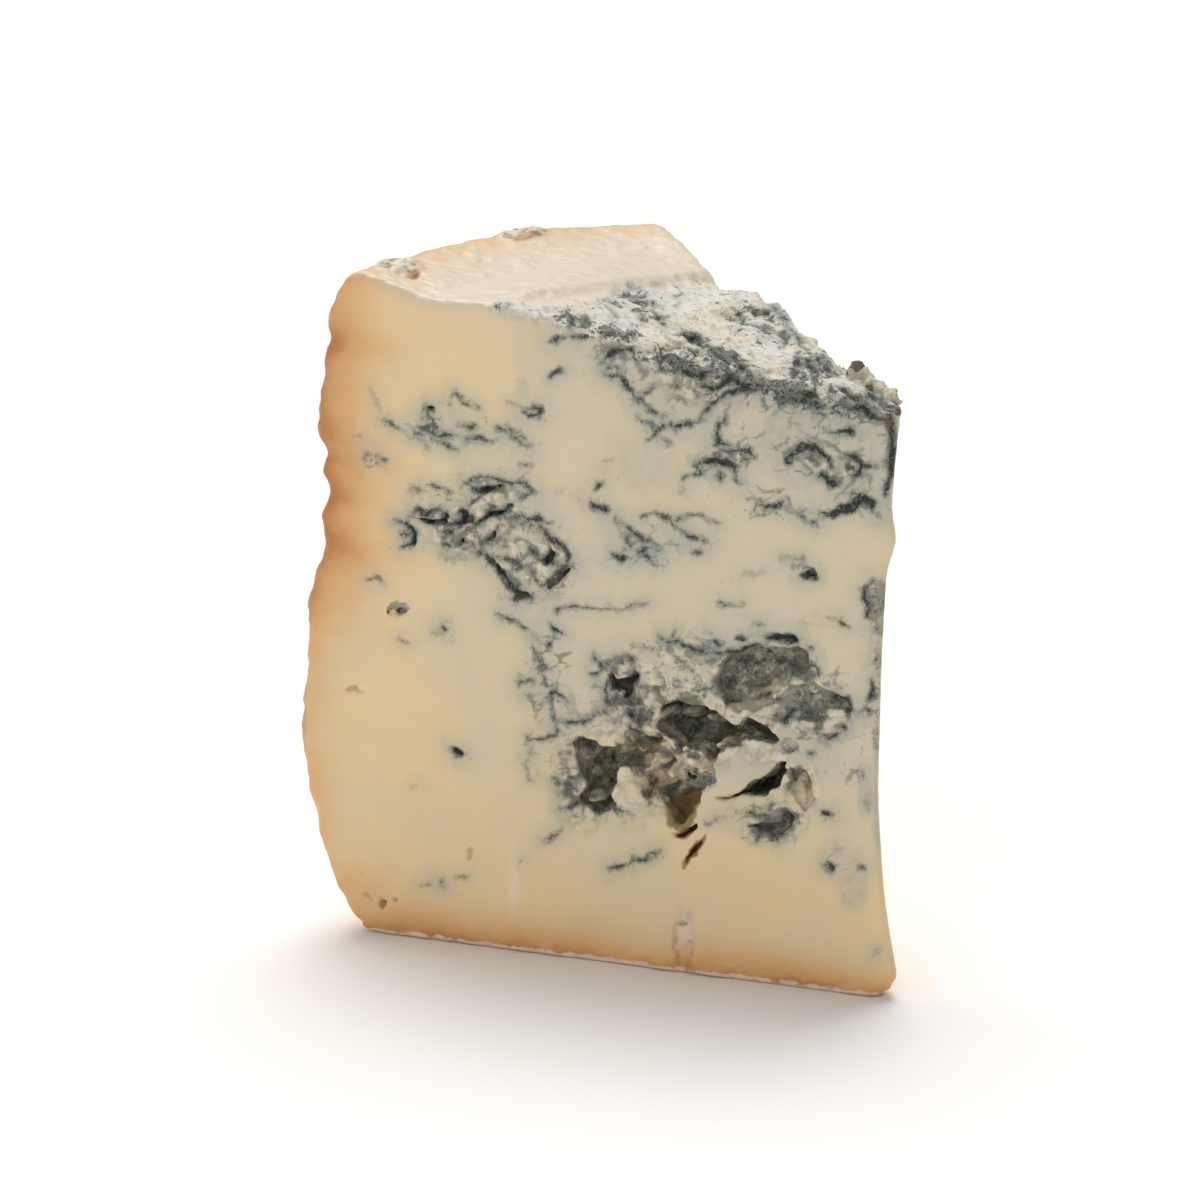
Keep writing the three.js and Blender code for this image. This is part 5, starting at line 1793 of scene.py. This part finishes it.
def quad_mesh(name, points, quads):
    """A smooth mesh of four-cornered faces; `points` are in metres."""
    mesh = bpy.data.meshes.new(name)
    mesh.vertices.add(len(points))
    mesh.vertices.foreach_set("co", points.astype(np.float32).ravel())
    mesh.loops.add(4 * len(quads))
    mesh.loops.foreach_set("vertex_index", quads[:, ::-1].astype(np.int32).ravel())
    mesh.polygons.add(len(quads))
    mesh.polygons.foreach_set("loop_start", np.arange(0, 4 * len(quads), 4, dtype=np.int32))
    mesh.update(calc_edges=True)
    mesh.validate()
    mesh.shade_smooth()
    return mesh


def cheese_piece():
    """Makes the wedge and gives the shift from wheel axes to the frame, in millimetres."""
    points, quads = largest_part(*cheese_field().mesh())
    box_low, box_high = (np.asarray(corner) / MM for corner in CAD_BOX)
    shift = 0.5 * (box_low + box_high) - 0.5 * (points.min(axis=0) + points.max(axis=0))
    shift[2] = box_low[2]
    points[:, 2] = np.maximum(points[:, 2], 0.0)

    mesh = quad_mesh("cheese_wedge_paste", (points + shift) * MM, quads)
    for name, values in growth(points).items():
        layer = mesh.attributes.new(name, "FLOAT", "POINT")
        layer.data.foreach_set("value", values.astype(np.float32))
    mesh.materials.append(cheese_material())

    piece = placed("cheese_paste", mesh)
    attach(piece, "root")
    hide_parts("cheese_wedge")
    return shift


# ---- Floor, light and camera -----------------------------------------------------------------

FLOOR_REACH = 6.0  # metres
FLOOR_WHITE = srgb(250, 246, 243)
SKY_STRENGTH = 0.37

# Each row: name, direction towards the light, strength, how wide it looks in degrees.
LIGHTS = (
    ("key", (-0.28, 0.45, 1.0), 2.6, 45.0),
    ("fill", (-0.15, -1.0, 0.35), 0.66, 60.0),
)

CAMERA_AZIMUTH = math.radians(25.0)
CAMERA_ELEVATION = math.radians(12.25)
CAMERA_DISTANCE = 700.0
CAMERA_HALF_VIEW = 84.0
CAMERA_TARGET = (39.0, 0.0, 52.85)  # in wheel axes


def add_floor():
    mesh = bpy.data.meshes.new("floor")
    signs = ((-1, -1), (1, -1), (1, 1), (-1, 1))
    corners = [(x * FLOOR_REACH, y * FLOOR_REACH, 0.0) for x, y in signs]
    mesh.from_pydata(corners, [], [(0, 1, 2, 3)])
    inputs = {"Base Color": FLOOR_WHITE, "Roughness": 0.9, "Specular IOR Level": 0.1}
    mesh.materials.append(Shader("floor_paper").finished(inputs))
    placed("floor", mesh)


def add_lights():
    world = bpy.data.worlds.new("studio")
    bpy.context.scene.world = world
    world.use_nodes = True
    background = world.node_tree.nodes["Background"]
    background.inputs["Color"].default_value = (1.0, 1.0, 1.0, 1.0)
    background.inputs["Strength"].default_value = SKY_STRENGTH
    for name, towards_light, strength, spread in LIGHTS:
        light = bpy.data.lights.new(name, "SUN")
        light.energy = strength
        light.angle = math.radians(spread)
        turn = Vector(towards_light).to_track_quat("Z", "Y")
        placed(name, light).rotation_euler = turn.to_euler()


def add_camera(shift):
    """The camera looks along the azimuth and down by the elevation, at a place on the cut."""
    flat = math.cos(CAMERA_ELEVATION)
    across = -math.sin(CAMERA_AZIMUTH) * flat
    into = math.cos(CAMERA_AZIMUTH) * flat
    towards = Vector((across, into, -math.sin(CAMERA_ELEVATION)))
    camera = bpy.data.cameras.new("camera")
    camera.sensor_fit = "HORIZONTAL"
    camera.angle = 2.0 * math.atan(CAMERA_HALF_VIEW / CAMERA_DISTANCE)
    camera.clip_end = 50.0
    holder = placed("camera", camera)
    target = Vector(tuple(float(v) for v in (np.asarray(CAMERA_TARGET) + shift) * MM))
    holder.location = target - towards * CAMERA_DISTANCE * MM
    holder.rotation_euler = towards.to_track_quat("-Z", "Y").to_euler()
    bpy.context.scene.camera = holder


def main():
    bpy.context.scene.view_settings.view_transform = "Standard"
    shift = cheese_piece()
    add_floor()
    add_lights()
    add_camera(shift)


main()
